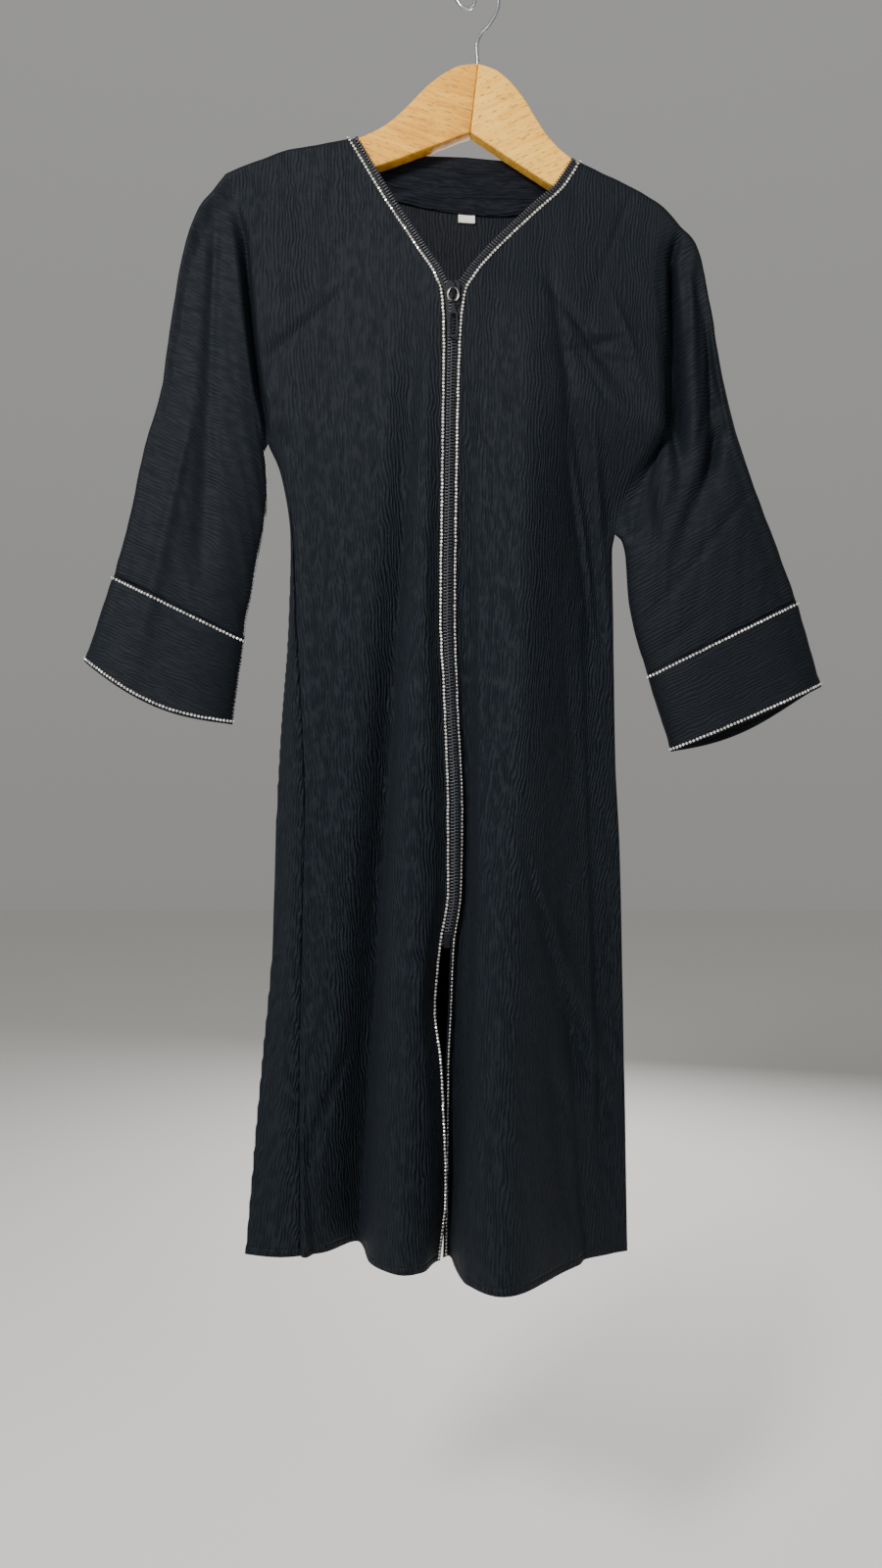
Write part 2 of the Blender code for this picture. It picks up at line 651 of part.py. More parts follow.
def wall_mesh(name, points, normals, faces, thickness, apart=0.0):
    """A closed wall: faces with their points moved half the thickness to each side.

    Its free edges draw in by half a seam's gap, and by "apart" in depth. The strip that
    closes an edge is split the same way on both pieces that share it, so that they stay
    clear of each other where the cloth twists.
    """
    edges = {}
    for corners in faces:
        for a, b in zip(corners, corners[1:] + corners[:1]):
            edges.setdefault(frozenset((a, b)), []).append((a, b, corners))
    free = [uses[0] for uses in edges.values() if len(uses) == 1]
    inward = {}
    for a, b, corners in free:
        middle = sum((points[k] for k in corners), Vector()) / len(corners)
        run = (points[b] - points[a]).normalized()
        towards = middle - points[a]
        pull = (towards - run * towards.dot(run)).normalized()
        for k in (a, b):
            inward[k] = inward.get(k, Vector()) + pull
    used = sorted({k for corners in faces for k in corners})
    place = {k: number for number, k in enumerate(used)}
    outer = []
    inner = []
    for k in used:
        point = points[k].copy()
        if k in inward and inward[k].length > 0.01:
            point += inward[k].normalized() * SEAM_GAP / 2 + Vector((0.0, apart, 0.0))
        outer.append((point + normals[k] * thickness / 2) * MM)
        inner.append((point - normals[k] * thickness / 2) * MM)
    count = len(used)
    made = [[place[k] for k in corners] for corners in faces]
    made += [[place[k] + count for k in reversed(corners)] for corners in faces]
    for a, b, _ in free:
        near, far = place[a], place[b]
        if a < b:
            made += [[far, near, far + count], [near, near + count, far + count]]
        else:
            made += [[far, near, near + count], [far, near + count, far + count]]
    mesh = bpy.data.meshes.new(name)
    mesh.from_pydata(outer + inner, [], made)
    mesh.shade_smooth()
    mesh.set_sharp_from_angle(angle=math.radians(50))
    return mesh


def make_panels(cloth, finish):
    normals = cloth.normals()
    pieces = sorted({piece for piece, _ in cloth.faces})
    for piece in pieces:
        faces = [corners for name, corners in cloth.faces if name == piece]
        thickness = CUFF_CLOTH if piece.startswith("cuff") else CLOTH
        apart = SEAM_APART.get(piece.split("_")[0], 0.0)
        mesh = wall_mesh(piece, cloth.points, normals, faces, thickness, apart)
        place_mesh(piece, mesh, finish)
    return normals


def strip_mesh(name, rows, outward, thickness, turned):
    """A closed wall from rows of points and one outward way for each point."""
    points = [point for row in rows for point in row]
    normals = [way for row in outward for way in row]
    width = len(rows[0])
    numbers = [[i * width + j for j in range(width)] for i in range(len(rows))]
    return wall_mesh(name, points, normals, triangles(numbers, turned), thickness)


def make_tape(cloth, normals, fronts, side, finish):
    """Half of the zip's tape, behind the front's folded edge and out to the teeth."""
    shown_in_vee = 5.0
    closed_from = 290.5
    behind = CLOTH / 2 + LAY_GAP + TAPE / 2
    other = "left" if side == "right" else "right"
    inward = SEAM_GAP / 2 if side == "left" else -SEAM_GAP / 2
    first = len(ROLL_ROWS)
    stations = []
    for row, partner in zip(fronts[side][first:], fronts[other][first:]):
        edge, hidden = row[0], row[1]
        station = [cloth.points[edge], normals[edge], cloth.points[hidden], normals[hidden]]
        stations.append(station + [cloth.points[partner[0]]])
    for number, (upper, lower) in enumerate(zip(stations, stations[1:])):
        if -upper[0].z < closed_from < -lower[0].z:
            share = (closed_from + upper[0].z) / (upper[0].z - lower[0].z)
            stations.insert(number + 1, [a.lerp(b, share) for a, b in zip(upper, lower)])
            break
    rows = []
    ways = []
    for edge, edge_way, hidden, hidden_way, partner in stations:
        if -edge.z > ZIP_END_DROP + 1.0:
            break
        if -edge.z >= closed_from - 0.1:
            free = edge.lerp(partner, 0.5) + Vector((inward, 0.0, 0.0))
        else:
            free = edge + (edge - hidden).normalized() * shown_in_vee
        free.y = edge.y
        back = Vector((0.0, behind, 0.0))
        rows.append([free + back, edge - edge_way * behind, hidden - hidden_way * behind])
        ways.append([Vector((0.0, -1.0, 0.0)), edge_way, hidden_way])
    mesh = strip_mesh("zip_tape_" + side, rows, ways, TAPE, side == "right")
    place_mesh("zip_tape_" + side, mesh, finish)


def make_facing(cloth, normals, back, finish):
    """The strip that faces the back neck, in front of the back panel."""
    deep = 47.0
    first = len(FRONT_COLUMNS) + 1
    last = first + len(BACK_NECK) + 1
    away = CLOTH / 2 + LAY_GAP + FACING / 2
    rows = []
    ways = []
    for i in range(4):
        picked = back[i][first:last + 1]
        rows.append([cloth.points[k] - normals[k] * away for k in picked])
        ways.append([normals[k] for k in picked])
    lowest = []
    for upper, lower, top in zip(back[3], back[4], back[0]):
        start = cloth.points[upper]
        end = cloth.points[lower]
        share = (cloth.points[top].z - deep - start.z) / (end.z - start.z)
        lowest.append((start.lerp(end, share), normals[upper].lerp(normals[lower], share)))
    picked = lowest[first:last + 1]
    rows.append([point - way * away for point, way in picked])
    ways.append([way for _, way in picked])
    mesh = strip_mesh("neck_facing", rows, ways, FACING, True)
    place_mesh("neck_facing", mesh, finish)
    return rows[-1]


def box_mesh(name, size, middle, rounding, tilt=0.0):
    """A box with rounded edges."""
    shape = bmesh.new()
    bmesh.ops.create_cube(shape, size=1.0)
    for vertex in shape.verts:
        x, y, z = (a * b for a, b in zip(vertex.co, size))
        turned = (x * math.cos(tilt) + z * math.sin(tilt), y, z * math.cos(tilt) - x * math.sin(tilt))
        vertex.co = (Vector(turned) + Vector(middle)) * MM
    bmesh.ops.bevel(
        shape, geom=shape.edges[:], offset=rounding * MM, segments=2, profile=0.5, affect="EDGES"
    )
    mesh = bpy.data.meshes.new(name)
    shape.to_mesh(mesh)
    shape.free()
    mesh.shade_smooth()
    mesh.set_sharp_from_angle(angle=math.radians(35))
    return mesh


def make_label(facing_edge, finish):
    """A small blank loop of ribbon below the facing's edge."""
    across = -7.7
    width = 13.5
    height = 6.0
    thick = 1.0
    near = min(facing_edge, key=lambda point: abs(point.x - across))
    middle = (across, near.y, near.z - SEAM_GAP - height / 2 - 0.9)
    mesh = box_mesh("neck_label", (width, thick, height), middle, 0.25, math.radians(4))
    place_mesh("neck_label", mesh, finish)


def tapered_plate(name, top, bottom, top_width, low_width, front, thick):
    """A slider plate with cut corners, wider at the top."""
    cut = 2.2
    half = top_width / 2
    low = low_width / 2
    outline = (
        (-half + cut, top), (half - cut, top), (half, top - cut), (low, bottom + cut),
        (low - cut, bottom), (-low + cut, bottom), (-low, bottom + cut), (-half, top - cut),
    )
    return prism_mesh(name, [(SLIDER_X + x, z) for x, z in outline], front, front + thick, 0.4)


def prism_mesh(name, outline, front, behind, rounding, segments=2):
    """A flat shape given as across and height, between two depths, with rounded edges."""
    shape = bmesh.new()
    near = [shape.verts.new(Vector((x, front, z)) * MM) for x, z in outline]
    far = [shape.verts.new(Vector((x, behind, z)) * MM) for x, z in outline]
    caps = [shape.faces.new(near), shape.faces.new(list(reversed(far)))]
    count = len(outline)
    for i in range(count):
        nxt = (i + 1) % count
        shape.faces.new((near[nxt], near[i], far[i], far[nxt]))
    bmesh.ops.recalc_face_normals(shape, faces=shape.faces[:])
    rim = list({edge for face in caps for edge in face.edges})
    if rounding > 0:
        bmesh.ops.bevel(
            shape, geom=rim, offset=rounding * MM, segments=segments, profile=0.5, affect="EDGES"
        )
    mesh = bpy.data.meshes.new(name)
    shape.to_mesh(mesh)
    shape.free()
    mesh.shade_smooth()
    mesh.set_sharp_from_angle(angle=math.radians(35))
    return mesh


def side_prism_mesh(name, outline, middle_x, width):
    """A flat shape given as depth and height, of some width across."""
    shape = bmesh.new()
    sides = []
    for across in (middle_x - width / 2, middle_x + width / 2):
        sides.append([shape.verts.new(Vector((across, y, z)) * MM) for y, z in outline])
    shape.faces.new(sides[0])
    shape.faces.new(list(reversed(sides[1])))
    count = len(outline)
    for i in range(count):
        nxt = (i + 1) % count
        shape.faces.new((sides[0][nxt], sides[0][i], sides[1][i], sides[1][nxt]))
    bmesh.ops.recalc_face_normals(shape, faces=shape.faces[:])
    mesh = bpy.data.meshes.new(name)
    shape.to_mesh(mesh)
    shape.free()
    return mesh


def join_solids(base, others):
    """Unite solids into the first; the others stay as hidden tools."""
    for other in others:
        union = base.modifiers.new(other.name, "BOOLEAN")
        union.operation = "UNION"
        union.solver = "EXACT"
        union.object = other
        other.hide_render = True
        other.display_type = "WIRE"
    return base


def bridge_outline():
    """The slider's bridge from the side: an arch over the ring's top, as depth and height."""
    top = SLIDER_TOP - 1.2
    bottom = SLIDER_BOTTOM + 0.6
    root = SLIDER_FACE + 0.5
    crown = RING_Y - RING_WIRE / 2 - 0.45
    thick = 1.1
    foot = 1.6
    return (
        (root, top), (crown + 0.8, top), (crown - thick, top - 2.4), (crown - thick, RING_TOP - 1.6),
        (SLIDER_FACE - 0.9, bottom), (root, bottom), (root, bottom + foot),
        (SLIDER_FACE - 0.2, bottom + foot), (crown, RING_TOP - 1.6), (crown, top - 2.8),
        (SLIDER_FACE - 0.2, top - foot), (root, top - foot),
    )


def make_slider(finish):
    front = tapered_plate(
        "zip_slider", SLIDER_TOP, SLIDER_BOTTOM, 11.6, 9.4, SLIDER_FACE, SLIDER_PLATE
    )
    slider = place_mesh("zip_slider", front, finish)
    tape_front = SLIDER_FACE + SLIDER_PLATE
    tape_back = tape_front + 3.7
    back = tapered_plate(
        "slider_back", SLIDER_TOP, SLIDER_BOTTOM, 10.6, 8.8, tape_back, 1.4
    )
    post = box_mesh(
        "slider_post", (2.2, 4.7, 3.0), (SLIDER_X, tape_front + 1.85, SLIDER_TOP - 2.2), 0.2
    )
    bridge = side_prism_mesh("slider_bridge", bridge_outline(), SLIDER_X, 1.9)
    tools = [
        place_mesh("slider_back", back, finish),
        place_mesh("slider_post", post, finish),
        place_mesh("slider_bridge", bridge, finish),
    ]
    join_solids(slider, tools)


def wire_curve(name, points, thickness, finish, origin, closed, resolution):
    """A round wire along points, as a curve with filled ends."""
    curve = bpy.data.curves.new(name, "CURVE")
    curve.dimensions = "3D"
    curve.bevel_depth = thickness / 2 * MM
    curve.bevel_resolution = resolution
    curve.use_fill_caps = True
    spline = curve.splines.new("POLY")
    spline.points.add(len(points) - 1)
    for spot, point in zip(spline.points, points):
        spot.co = (*(Vector(point) * MM), 1.0)
    spline.use_cyclic_u = closed
    curve.materials.append(finish)
    made = bpy.data.objects.new(name, curve)
    made.location = Vector(origin) * MM
    bpy.context.collection.objects.link(made)
    return made


def make_ring(finish):
    """The oval ring; its origin is on its hinge, the middle of its top wire."""
    count = 28
    points = []
    for i in range(count):
        turn = 2 * math.pi * i / count
        across = RING_HALF_WIDTH * math.sin(turn)
        up = RING_HALF_HEIGHT * (math.cos(turn) - 1.0)
        points.append((across, 0.0, up))
    wire_curve("zip_ring", points, RING_WIRE, finish, (SLIDER_X, RING_Y, RING_TOP), True, 2)


def frame_mesh(name, top, width, height, rim, thick):
    """A flat frame with rounded corners round one slot, hanging below its top."""
    middle = (0.0, top - height / 2)
    count = 28

    def rounded(half_x, half_z):
        loop = []
        for i in range(count):
            turn = 2 * math.pi * (i + 0.5) / count
            c = math.cos(turn)
            s = math.sin(turn)
            power = 0.32
            across = half_x * math.copysign(abs(c) ** power, c)
            up = half_z * math.copysign(abs(s) ** power, s)
            loop.append((middle[0] + across, middle[1] + up))
        return loop

    loops = []
    for half_x, half_z, depth in (
        (width / 2, height / 2, -thick / 2), (width / 2, height / 2, thick / 2),
        (width / 2 - rim, height / 2 - rim, thick / 2), (width / 2 - rim, height / 2 - rim, -thick / 2),
    ):
        loops.append([Vector((x, depth, z)) * MM for x, z in rounded(half_x, half_z)])
    shape = bmesh.new()
    rings = [[shape.verts.new(point) for point in loop] for loop in loops]
    for ring, onward in zip(rings, rings[1:] + rings[:1]):
        for i in range(count):
            nxt = (i + 1) % count
            shape.faces.new((ring[i], ring[nxt], onward[nxt], onward[i]))
    bmesh.ops.recalc_face_normals(shape, faces=shape.faces[:])
    mesh = bpy.data.meshes.new(name)
    shape.to_mesh(mesh)
    shape.free()
    mesh.shade_smooth()
    mesh.set_sharp_from_angle(angle=math.radians(35))
    return mesh


def knuckle_mesh(name, outer, inner, width):
    """A short tube along X round the ring's wire."""
    count = 14
    shape = bmesh.new()
    rings = []
    for radius, across in ((outer, -width / 2), (outer, width / 2), (inner, width / 2), (inner, -width / 2)):
        ring = []
        for i in range(count):
            turn = 2 * math.pi * i / count
            point = Vector((across, radius * math.cos(turn), radius * math.sin(turn))) * MM
            ring.append(shape.verts.new(point))
        rings.append(ring)
    for ring, onward in zip(rings, rings[1:] + rings[:1]):
        for i in range(count):
            nxt = (i + 1) % count
            shape.faces.new((ring[i], ring[nxt], onward[nxt], onward[i]))
    bmesh.ops.recalc_face_normals(shape, faces=shape.faces[:])
    mesh = bpy.data.meshes.new(name)
    shape.to_mesh(mesh)
    shape.free()
    mesh.shade_smooth()
    mesh.set_sharp_from_angle(angle=math.radians(35))
    return mesh


def make_tab(finish):
    """The long tab and its link; its origin is on its hinge, the ring's bottom wire."""
    hinge = (SLIDER_X, RING_Y, RING_TOP - 2 * RING_HALF_HEIGHT)
    knuckle_radius = 2.0
    top = -knuckle_radius - TAB_LINK
    frame = frame_mesh("zip_tab", top + 0.4, TAB_WIDTH, TAB_SHOWN, 1.4, TAB_THICK)
    tab = place_mesh("zip_tab", frame, finish, hinge)
    knuckle = knuckle_mesh("tab_knuckle", knuckle_radius, 1.35, 2.2)
    link_outline = ((-1.0, -1.6), (1.0, -1.6), (2.2, top + 1.2), (2.2, top - 0.3), (-2.2, top - 0.3), (-2.2, top + 1.2))
    link = prism_mesh("tab_link", link_outline, -0.7, 0.7, 0.25)
    tools = [place_mesh("tab_knuckle", knuckle, finish, hinge), place_mesh("tab_link", link, finish, hinge)]
    join_solids(tab, tools)


def make_zip_box(cloth, fronts, finish):
    """The stop at the zip's lower end, in front of the two tapes."""
    row = next(i for i, r in enumerate(fronts["right"]) if -cloth.points[r[0]].z > ZIP_END_DROP - 2)
    right = cloth.points[fronts["right"][row][0]]
    left = cloth.points[fronts["left"][row][0]]
    above_right = cloth.points[fronts["right"][row - 1][0]]
    height = 12.0
    thick = 2.0
    share = height / 2 / (above_right.z - right.z)
    lean = (mix(right.x, above_right.x, share) + mix(left.x, above_right.x + ZIP_SHOWN, share)) / 2
    depth = mix(right.y, above_right.y, share)
    front = depth + CLOTH / 2 + LAY_GAP - SEAM_GAP - thick / 2 - 0.2
    middle = (lean, front, -ZIP_END_DROP + height / 2 + 0.5)
    mesh = box_mesh("zip_box", (5.4, thick, height), middle, 0.5)
    place_mesh("zip_box", mesh, finish)


def hanger_outline(side):
    """One half of the hanger, as tilted points round its edge."""
    joint = SEAM_GAP / 2
    reach = HANGER_TOP[-1][0]
    steps = int(reach / WOOD_STEP)
    outs = [joint] + [reach * i / steps for i in range(1, steps + 1)]
    upper = [(out, follow(HANGER_TOP, out)[0]) for out in outs]
    under = [(out, follow(HANGER_UNDER, out)[0]) for out in outs[::2]]
    if under[-1][0] < outs[-1]:
        under.append((outs[-1], HANGER_UNDER[-1][1]))
    loop = upper + list(reversed(under))
    return [tilted(out * side, height) for out, height in loop]


def make_hanger(finish):
    half = HANGER_THICK / 2
    for name, side in (("hanger_arm_right", -1), ("hanger_arm_left", 1)):
        mesh = prism_mesh(name, hanger_outline(side), -half, half, HANGER_ROUNDING)
        place_mesh(name, mesh, finish)


def make_hook(finish):
    """The wire hook, from the wood up, over and into its curled end."""
    start = math.radians(-20)
    end = math.radians(200)
    steps = 22
    top = HOOK_WIRE / 2 - HOOK_RADIUS
    arc = []
    for i in range(steps + 1):
        turn = mix(start, end, i / steps)
        arc.append((HOOK_RADIUS * math.cos(turn), top + HOOK_RADIUS * math.sin(turn)))
    route = list(HOOK_STEM) + arc + list(HOOK_CURL)
    keyed = []
    travelled = 0.0
    for i, (across, up) in enumerate(route):
        if i:
            travelled += math.dist(route[i - 1], route[i])
        keyed.append((travelled, across, up))
    count = int(travelled / 4.5)
    points = []
    for i in range(count + 1):
        across, up = follow(keyed, travelled * i / count)
        points.append((across, 0.0, up))
    wire_curve("hanger_hook", points, HOOK_WIRE, finish, (0.0, 0.0, 0.0), False, 2)


def main():
    clear_scene()
    crepe = material("black_crinkle_crepe", (0.010, 0.012, 0.014), 0.78)
    facing = material("black_crepe_facing", (0.009, 0.010, 0.012), 0.80)
    ribbon = material("white_label_ribbon", (0.78, 0.77, 0.73), 0.60)
    tape = material("black_zip_tape", (0.011, 0.011, 0.012), 0.70)
    black_metal = material("black_nickel_slider", (0.08, 0.08, 0.085), 0.28, 1.0)
    silver = material("silver_ring", (0.72, 0.71, 0.69), 0.22, 1.0)
    beech = material("lacquered_beech", (0.66, 0.41, 0.19), 0.42)
    steel = material("plated_steel_wire", (0.74, 0.74, 0.75), 0.25, 1.0)

    cloth, fronts, back = sew_cloth()
    normals = make_panels(cloth, crepe)
    for side in ("right", "left"):
        make_tape(cloth, normals, fronts, side, tape)
    facing_edge = make_facing(cloth, normals, back, facing)
    make_label(facing_edge, ribbon)
    make_slider(black_metal)
    make_ring(silver)
    make_tab(black_metal)
    make_zip_box(cloth, fronts, black_metal)
    make_hanger(beech)
    make_hook(steel)


main()
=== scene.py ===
# %% [markdown]
# # A child's long zip-front tunic in black crinkle crepe
#
# The real garment is cut from one bolt of crinkled crepe: two fronts and a back, each with
# its half of the sleeves, two cuff bands, an open-end zip with its teeth showing, and a chain of
# small glass stones beside the zip and round the cuffs. It hangs on a flat beech hanger.
# The solids that physics uses are loaded first and stay where they are. Everything here is a
# finer skin on the same form.

# %% Load the solids
import math
import bmesh
import bpy
import numpy as np
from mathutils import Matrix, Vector, noise


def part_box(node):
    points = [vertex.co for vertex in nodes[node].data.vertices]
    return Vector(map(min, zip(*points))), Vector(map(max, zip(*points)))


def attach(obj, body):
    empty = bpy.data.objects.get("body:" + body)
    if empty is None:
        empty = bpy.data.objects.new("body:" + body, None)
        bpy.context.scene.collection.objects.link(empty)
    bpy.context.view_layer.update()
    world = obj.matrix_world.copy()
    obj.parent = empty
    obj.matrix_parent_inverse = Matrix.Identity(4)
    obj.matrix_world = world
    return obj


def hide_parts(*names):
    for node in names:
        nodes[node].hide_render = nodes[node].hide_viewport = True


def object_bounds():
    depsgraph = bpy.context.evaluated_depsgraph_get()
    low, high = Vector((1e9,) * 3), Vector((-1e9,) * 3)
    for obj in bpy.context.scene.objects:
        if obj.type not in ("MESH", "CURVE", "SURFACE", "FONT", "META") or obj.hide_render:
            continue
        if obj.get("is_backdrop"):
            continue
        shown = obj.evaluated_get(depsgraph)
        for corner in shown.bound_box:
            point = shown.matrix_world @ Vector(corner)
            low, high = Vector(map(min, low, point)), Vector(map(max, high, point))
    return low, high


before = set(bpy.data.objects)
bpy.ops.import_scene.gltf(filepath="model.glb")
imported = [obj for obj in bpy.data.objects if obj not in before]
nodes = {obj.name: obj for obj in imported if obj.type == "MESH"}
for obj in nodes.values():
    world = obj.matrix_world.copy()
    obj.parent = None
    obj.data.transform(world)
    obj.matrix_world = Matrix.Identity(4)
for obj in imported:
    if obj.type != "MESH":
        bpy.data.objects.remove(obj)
cad_low, cad_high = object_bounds()
MM = 0.001
print("solids:", len(nodes), "box in mm:", [round((b - a) * 1000) for a, b in zip(cad_low, cad_high)])

# %% [markdown]
# ## Colours, nodes and meshes
#
# A few helpers do the plain work. Colours are written as sRGB hex values, as read off a screen,
# and one function turns them to the linear values that shaders use. One function adds a shader
# node with its settings and links. The others turn points and faces into a mesh that rides with
# the garment, and store maps and values on it that a material can read by name.

# %% Colours and nodes
def linear(code):
    """A hex colour such as "20262a" as linear red, green, blue and alpha."""
    parts = [int(code[i:i + 2], 16) / 255 for i in (0, 2, 4)]
    return (*[c / 12.92 if c <= 0.04045 else ((c + 0.055) / 1.055) ** 2.4 for c in parts], 1.0)


def put(tree, kind, inputs=None, stops=(), **settings):
    """Add a node. Inputs are numbers, colours or the output sockets of other nodes.

    Stops are the places and hex colours of a colour ramp.
    """
    node = tree.nodes.new(kind)
    for name, value in settings.items():
        setattr(node, name, value)
    for name, value in (inputs or {}).items():
        if isinstance(value, bpy.types.NodeSocket):
            tree.links.new(value, node.inputs[name])
        else:
            node.inputs[name].default_value = value
    while stops and len(node.color_ramp.elements) < len(stops):
        node.color_ramp.elements.new(0.5)
    for number, (place, code) in enumerate(stops):
        mark = node.color_ramp.elements[number]
        mark.position = place
        mark.color = linear(code)
    return node


def finish(name, roughness, metallic=0.0):
    """An empty material, with its tree and its shader."""
    made = bpy.data.materials.new(name)
    made.use_nodes = True
    shader = made.node_tree.nodes["Principled BSDF"]
    shader.inputs["Roughness"].default_value = roughness
    shader.inputs["Metallic"].default_value = metallic
    return made, made.node_tree, shader


print("middle grey 808080 is linear", round(linear("808080")[0], 3))

# %% Meshes
def hang(name, data):
    """An object of the scene that moves with the garment."""
    made = bpy.data.objects.new(name, data)
    bpy.context.scene.collection.objects.link(made)
    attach(made, "garment")
    return made


def solid(name, points, faces, material, smooth=True):
    """A mesh object from points in millimetres."""
    mesh = bpy.data.meshes.new(name)
    mesh.from_pydata((np.asarray(points, float).reshape(-1, 3) * MM).tolist(), [], faces)
    mesh.polygons.foreach_set("use_smooth", [smooth] * len(mesh.polygons))
    mesh.materials.append(material)
    return hang(name, mesh)


def corner_points(made):
    """The number of the point that each face corner stands on."""
    numbers = np.zeros(len(made.data.loops), int)
    made.data.loops.foreach_get("vertex_index", numbers)
    return numbers


def store_map(made, name, flat):
    """Store a flat map, given in millimetres for each face corner."""
    layer = made.data.uv_layers.new(name=name)
    layer.data.foreach_set("uv", (flat * MM).astype(np.float32).ravel())


def store_values(made, name, values):
    """Store one number for each point."""
    stored = made.data.attributes.new(name, "FLOAT", "POINT")
    stored.data.foreach_set("value", values.astype(np.float32))


# %% [markdown]
# ## The crinkle crepe
#
# Crepe is woven from hard-twisted yarn and then washed, so that it shrinks into fine bark-like wrinkles that
# run with the length of the cloth. Dyed black it is never quite black: the crests of the wrinkles catch a
# soft blue-grey light and the valleys stay dark. This is painted into its colour too, as a painted highlight
# on the crests and painted shade in the valleys. The real wrinkles are about 2.5 mm apart and 10 to 20 mm
# long. They could be modelled, but a million points would be needed, so they are drawn as a height for the
# light to catch. The pattern lies on the cloth's own flat cut, which every panel carries as a UV map in
# metres, so it turns with the sleeves as the real one does.

# %% Bark pattern
def patches(tree, flat, across, along, detail):
    """A soft noise on a flat map, in patches of this width and length in metres."""
    sized = put(tree, "ShaderNodeMapping", {"Vector": flat, "Scale": (1 / across, 1 / along, 1.0)})
    spots = put(tree, "ShaderNodeTexNoise", {"Vector": sized.outputs[0], "Scale": 1.0, "Detail": detail})
    return spots.outputs["Fac"]


def bark(tree, layer, apart, length):
    """The height of the crinkle on one flat map: ridges this far apart and this long."""
    flat = put(tree, "ShaderNodeUVMap", uv_map=layer).outputs["UV"]
    # The ridges wander sideways in patches of 14 by 30 mm, so that they crowd and part like bark.
    wander = patches(tree, flat, 0.014, 0.030, 2.0)
    across = put(tree, "ShaderNodeSeparateXYZ", {"Vector": flat}).outputs["X"]
    phase = put(tree, "ShaderNodeMath", {0: across, 1: 2 * math.pi / apart}, operation="MULTIPLY")
    moved = put(
        tree, "ShaderNodeMath", {0: wander, 1: 22.0, 2: phase.outputs[0]}, operation="MULTIPLY_ADD",
    )
    wave = put(tree, "ShaderNodeMath", {0: moved.outputs[0]}, operation="SINE")
    # Each ridge rises and dies away after its length.
    runs = patches(tree, flat, apart * 1.7, length, 1.0)
    strength = put(
        tree, "ShaderNodeMapRange", {"Value": runs, "From Min": 0.22, "From Max": 0.62},
        interpolation_type="SMOOTHSTEP",
    )
    ridges = put(
        tree, "ShaderNodeMath", {0: wave.outputs[0], 1: strength.outputs["Result"]}, operation="MULTIPLY",
    )
    small = patches(tree, flat, apart * 0.6, length * 0.5, 2.0)
    # Yarn: the real one is about 0.2 mm thick, drawn at 0.7 mm so that it shows at all.
    yarn = put(tree, "ShaderNodeTexNoise", {"Vector": flat, "Scale": 1400.0, "Detail": 1.0})
    rough = put(
        tree, "ShaderNodeMath", {0: yarn.outputs["Fac"], 1: 0.25, 2: small}, operation="MULTIPLY_ADD",
    )
    return put(
        tree, "ShaderNodeMath", {0: rough.outputs[0], 1: 1.3, 2: ridges.outputs[0]}, operation="MULTIPLY_ADD",
    ).outputs[0]


print("a ridge every 2.5 mm makes", round(1 / 0.0025), "ridges in a metre of cloth")

# %% Crepe
HEM_STITCH = 0.006
GROOVE = 0.0016


# The crest and valley colours are a painted highlight on the crinkle's crests and painted shade in its
# valleys.
def crepe_finish(name, painted_crest_highlight, valley, apart, length, deep):
    made, tree, shader = finish(name, 0.66)
    # On a sleeve the crinkle turns to run round the arm; "turned" says how far it has.
    turned = put(tree, "ShaderNodeAttribute", attribute_type="GEOMETRY", attribute_name="turned")
    down_cloth = bark(tree, "pattern", apart, length)
    round_sleeve = bark(tree, "round_arm", apart, length)
    height = put(
        tree, "ShaderNodeMix", {"Factor": turned.outputs["Fac"], 2: down_cloth, 3: round_sleeve},
    ).outputs[0]
    # Over the hanger the cloth's own weight pulls the crinkle flatter than it is in the skirt.
    flat = put(tree, "ShaderNodeUVMap", uv_map="pattern")
    down = put(tree, "ShaderNodeSeparateXYZ", {"Vector": flat.outputs["UV"]})
    pulled_flat_and_shaded = put(
        tree, "ShaderNodeMapRange",
        {"Value": down.outputs["Y"], "From Min": 0.16, "From Max": 0.55, "To Min": 0.62, "To Max": 1.7},
    )
    height = put(
        tree, "ShaderNodeMath", {0: height, 1: pulled_flat_and_shaded.outputs["Result"]}, operation="MULTIPLY",
    ).outputs[0]
    # Pulled flat, it has lower crests, so the ramp below paints the chest and the cuffs darker than the
    # skirt: painted shade.
    painted_light_share = put(tree, "ShaderNodeMapRange", {"Value": height, "From Min": -0.2, "From Max": 2.0})
    # The ramp paints the crests light as a painted highlight, and the valleys dark as painted shade.
    ramp = put(tree, "ShaderNodeValToRGB", {"Fac": painted_light_share.outputs[0]}, ((0.0, valley), (1.0, painted_crest_highlight)))
    # The narrow hem is turned up and stitched, which draws in a groove.
    hem = put(tree, "ShaderNodeAttribute", attribute_type="GEOMETRY", attribute_name="hem").outputs["Fac"]
    from_stitch = put(tree, "ShaderNodeMath", {0: hem, 1: HEM_STITCH}, operation="SUBTRACT")
    near = put(tree, "ShaderNodeMath", {0: from_stitch.outputs[0]}, operation="ABSOLUTE")
    groove = put(
        tree, "ShaderNodeMapRange",
        {"Value": near.outputs[0], "From Max": GROOVE, "To Min": -4.0, "To Max": 0.0},
    )
    formed = put(tree, "ShaderNodeMath", {0: height, 1: groove.outputs["Result"]}, operation="ADD")
    raised = put(tree, "ShaderNodeBump", {"Height": formed.outputs[0], "Strength": 1.0, "Distance": deep})
    tree.links.new(ramp.outputs["Color"], shader.inputs["Base Color"])
    tree.links.new(raised.outputs["Normal"], shader.inputs["Normal"])
    # Matt yarn throws back little mirror-like light, and its fluff gives a faint pale sheen.
    shader.inputs["Specular IOR Level"].default_value = 0.15
    shader.inputs["Sheen Weight"].default_value = 0.02
    shader.inputs["Sheen Roughness"].default_value = 0.4
    shader.inputs["Sheen Tint"].default_value = linear("8c9aaa")
    return made


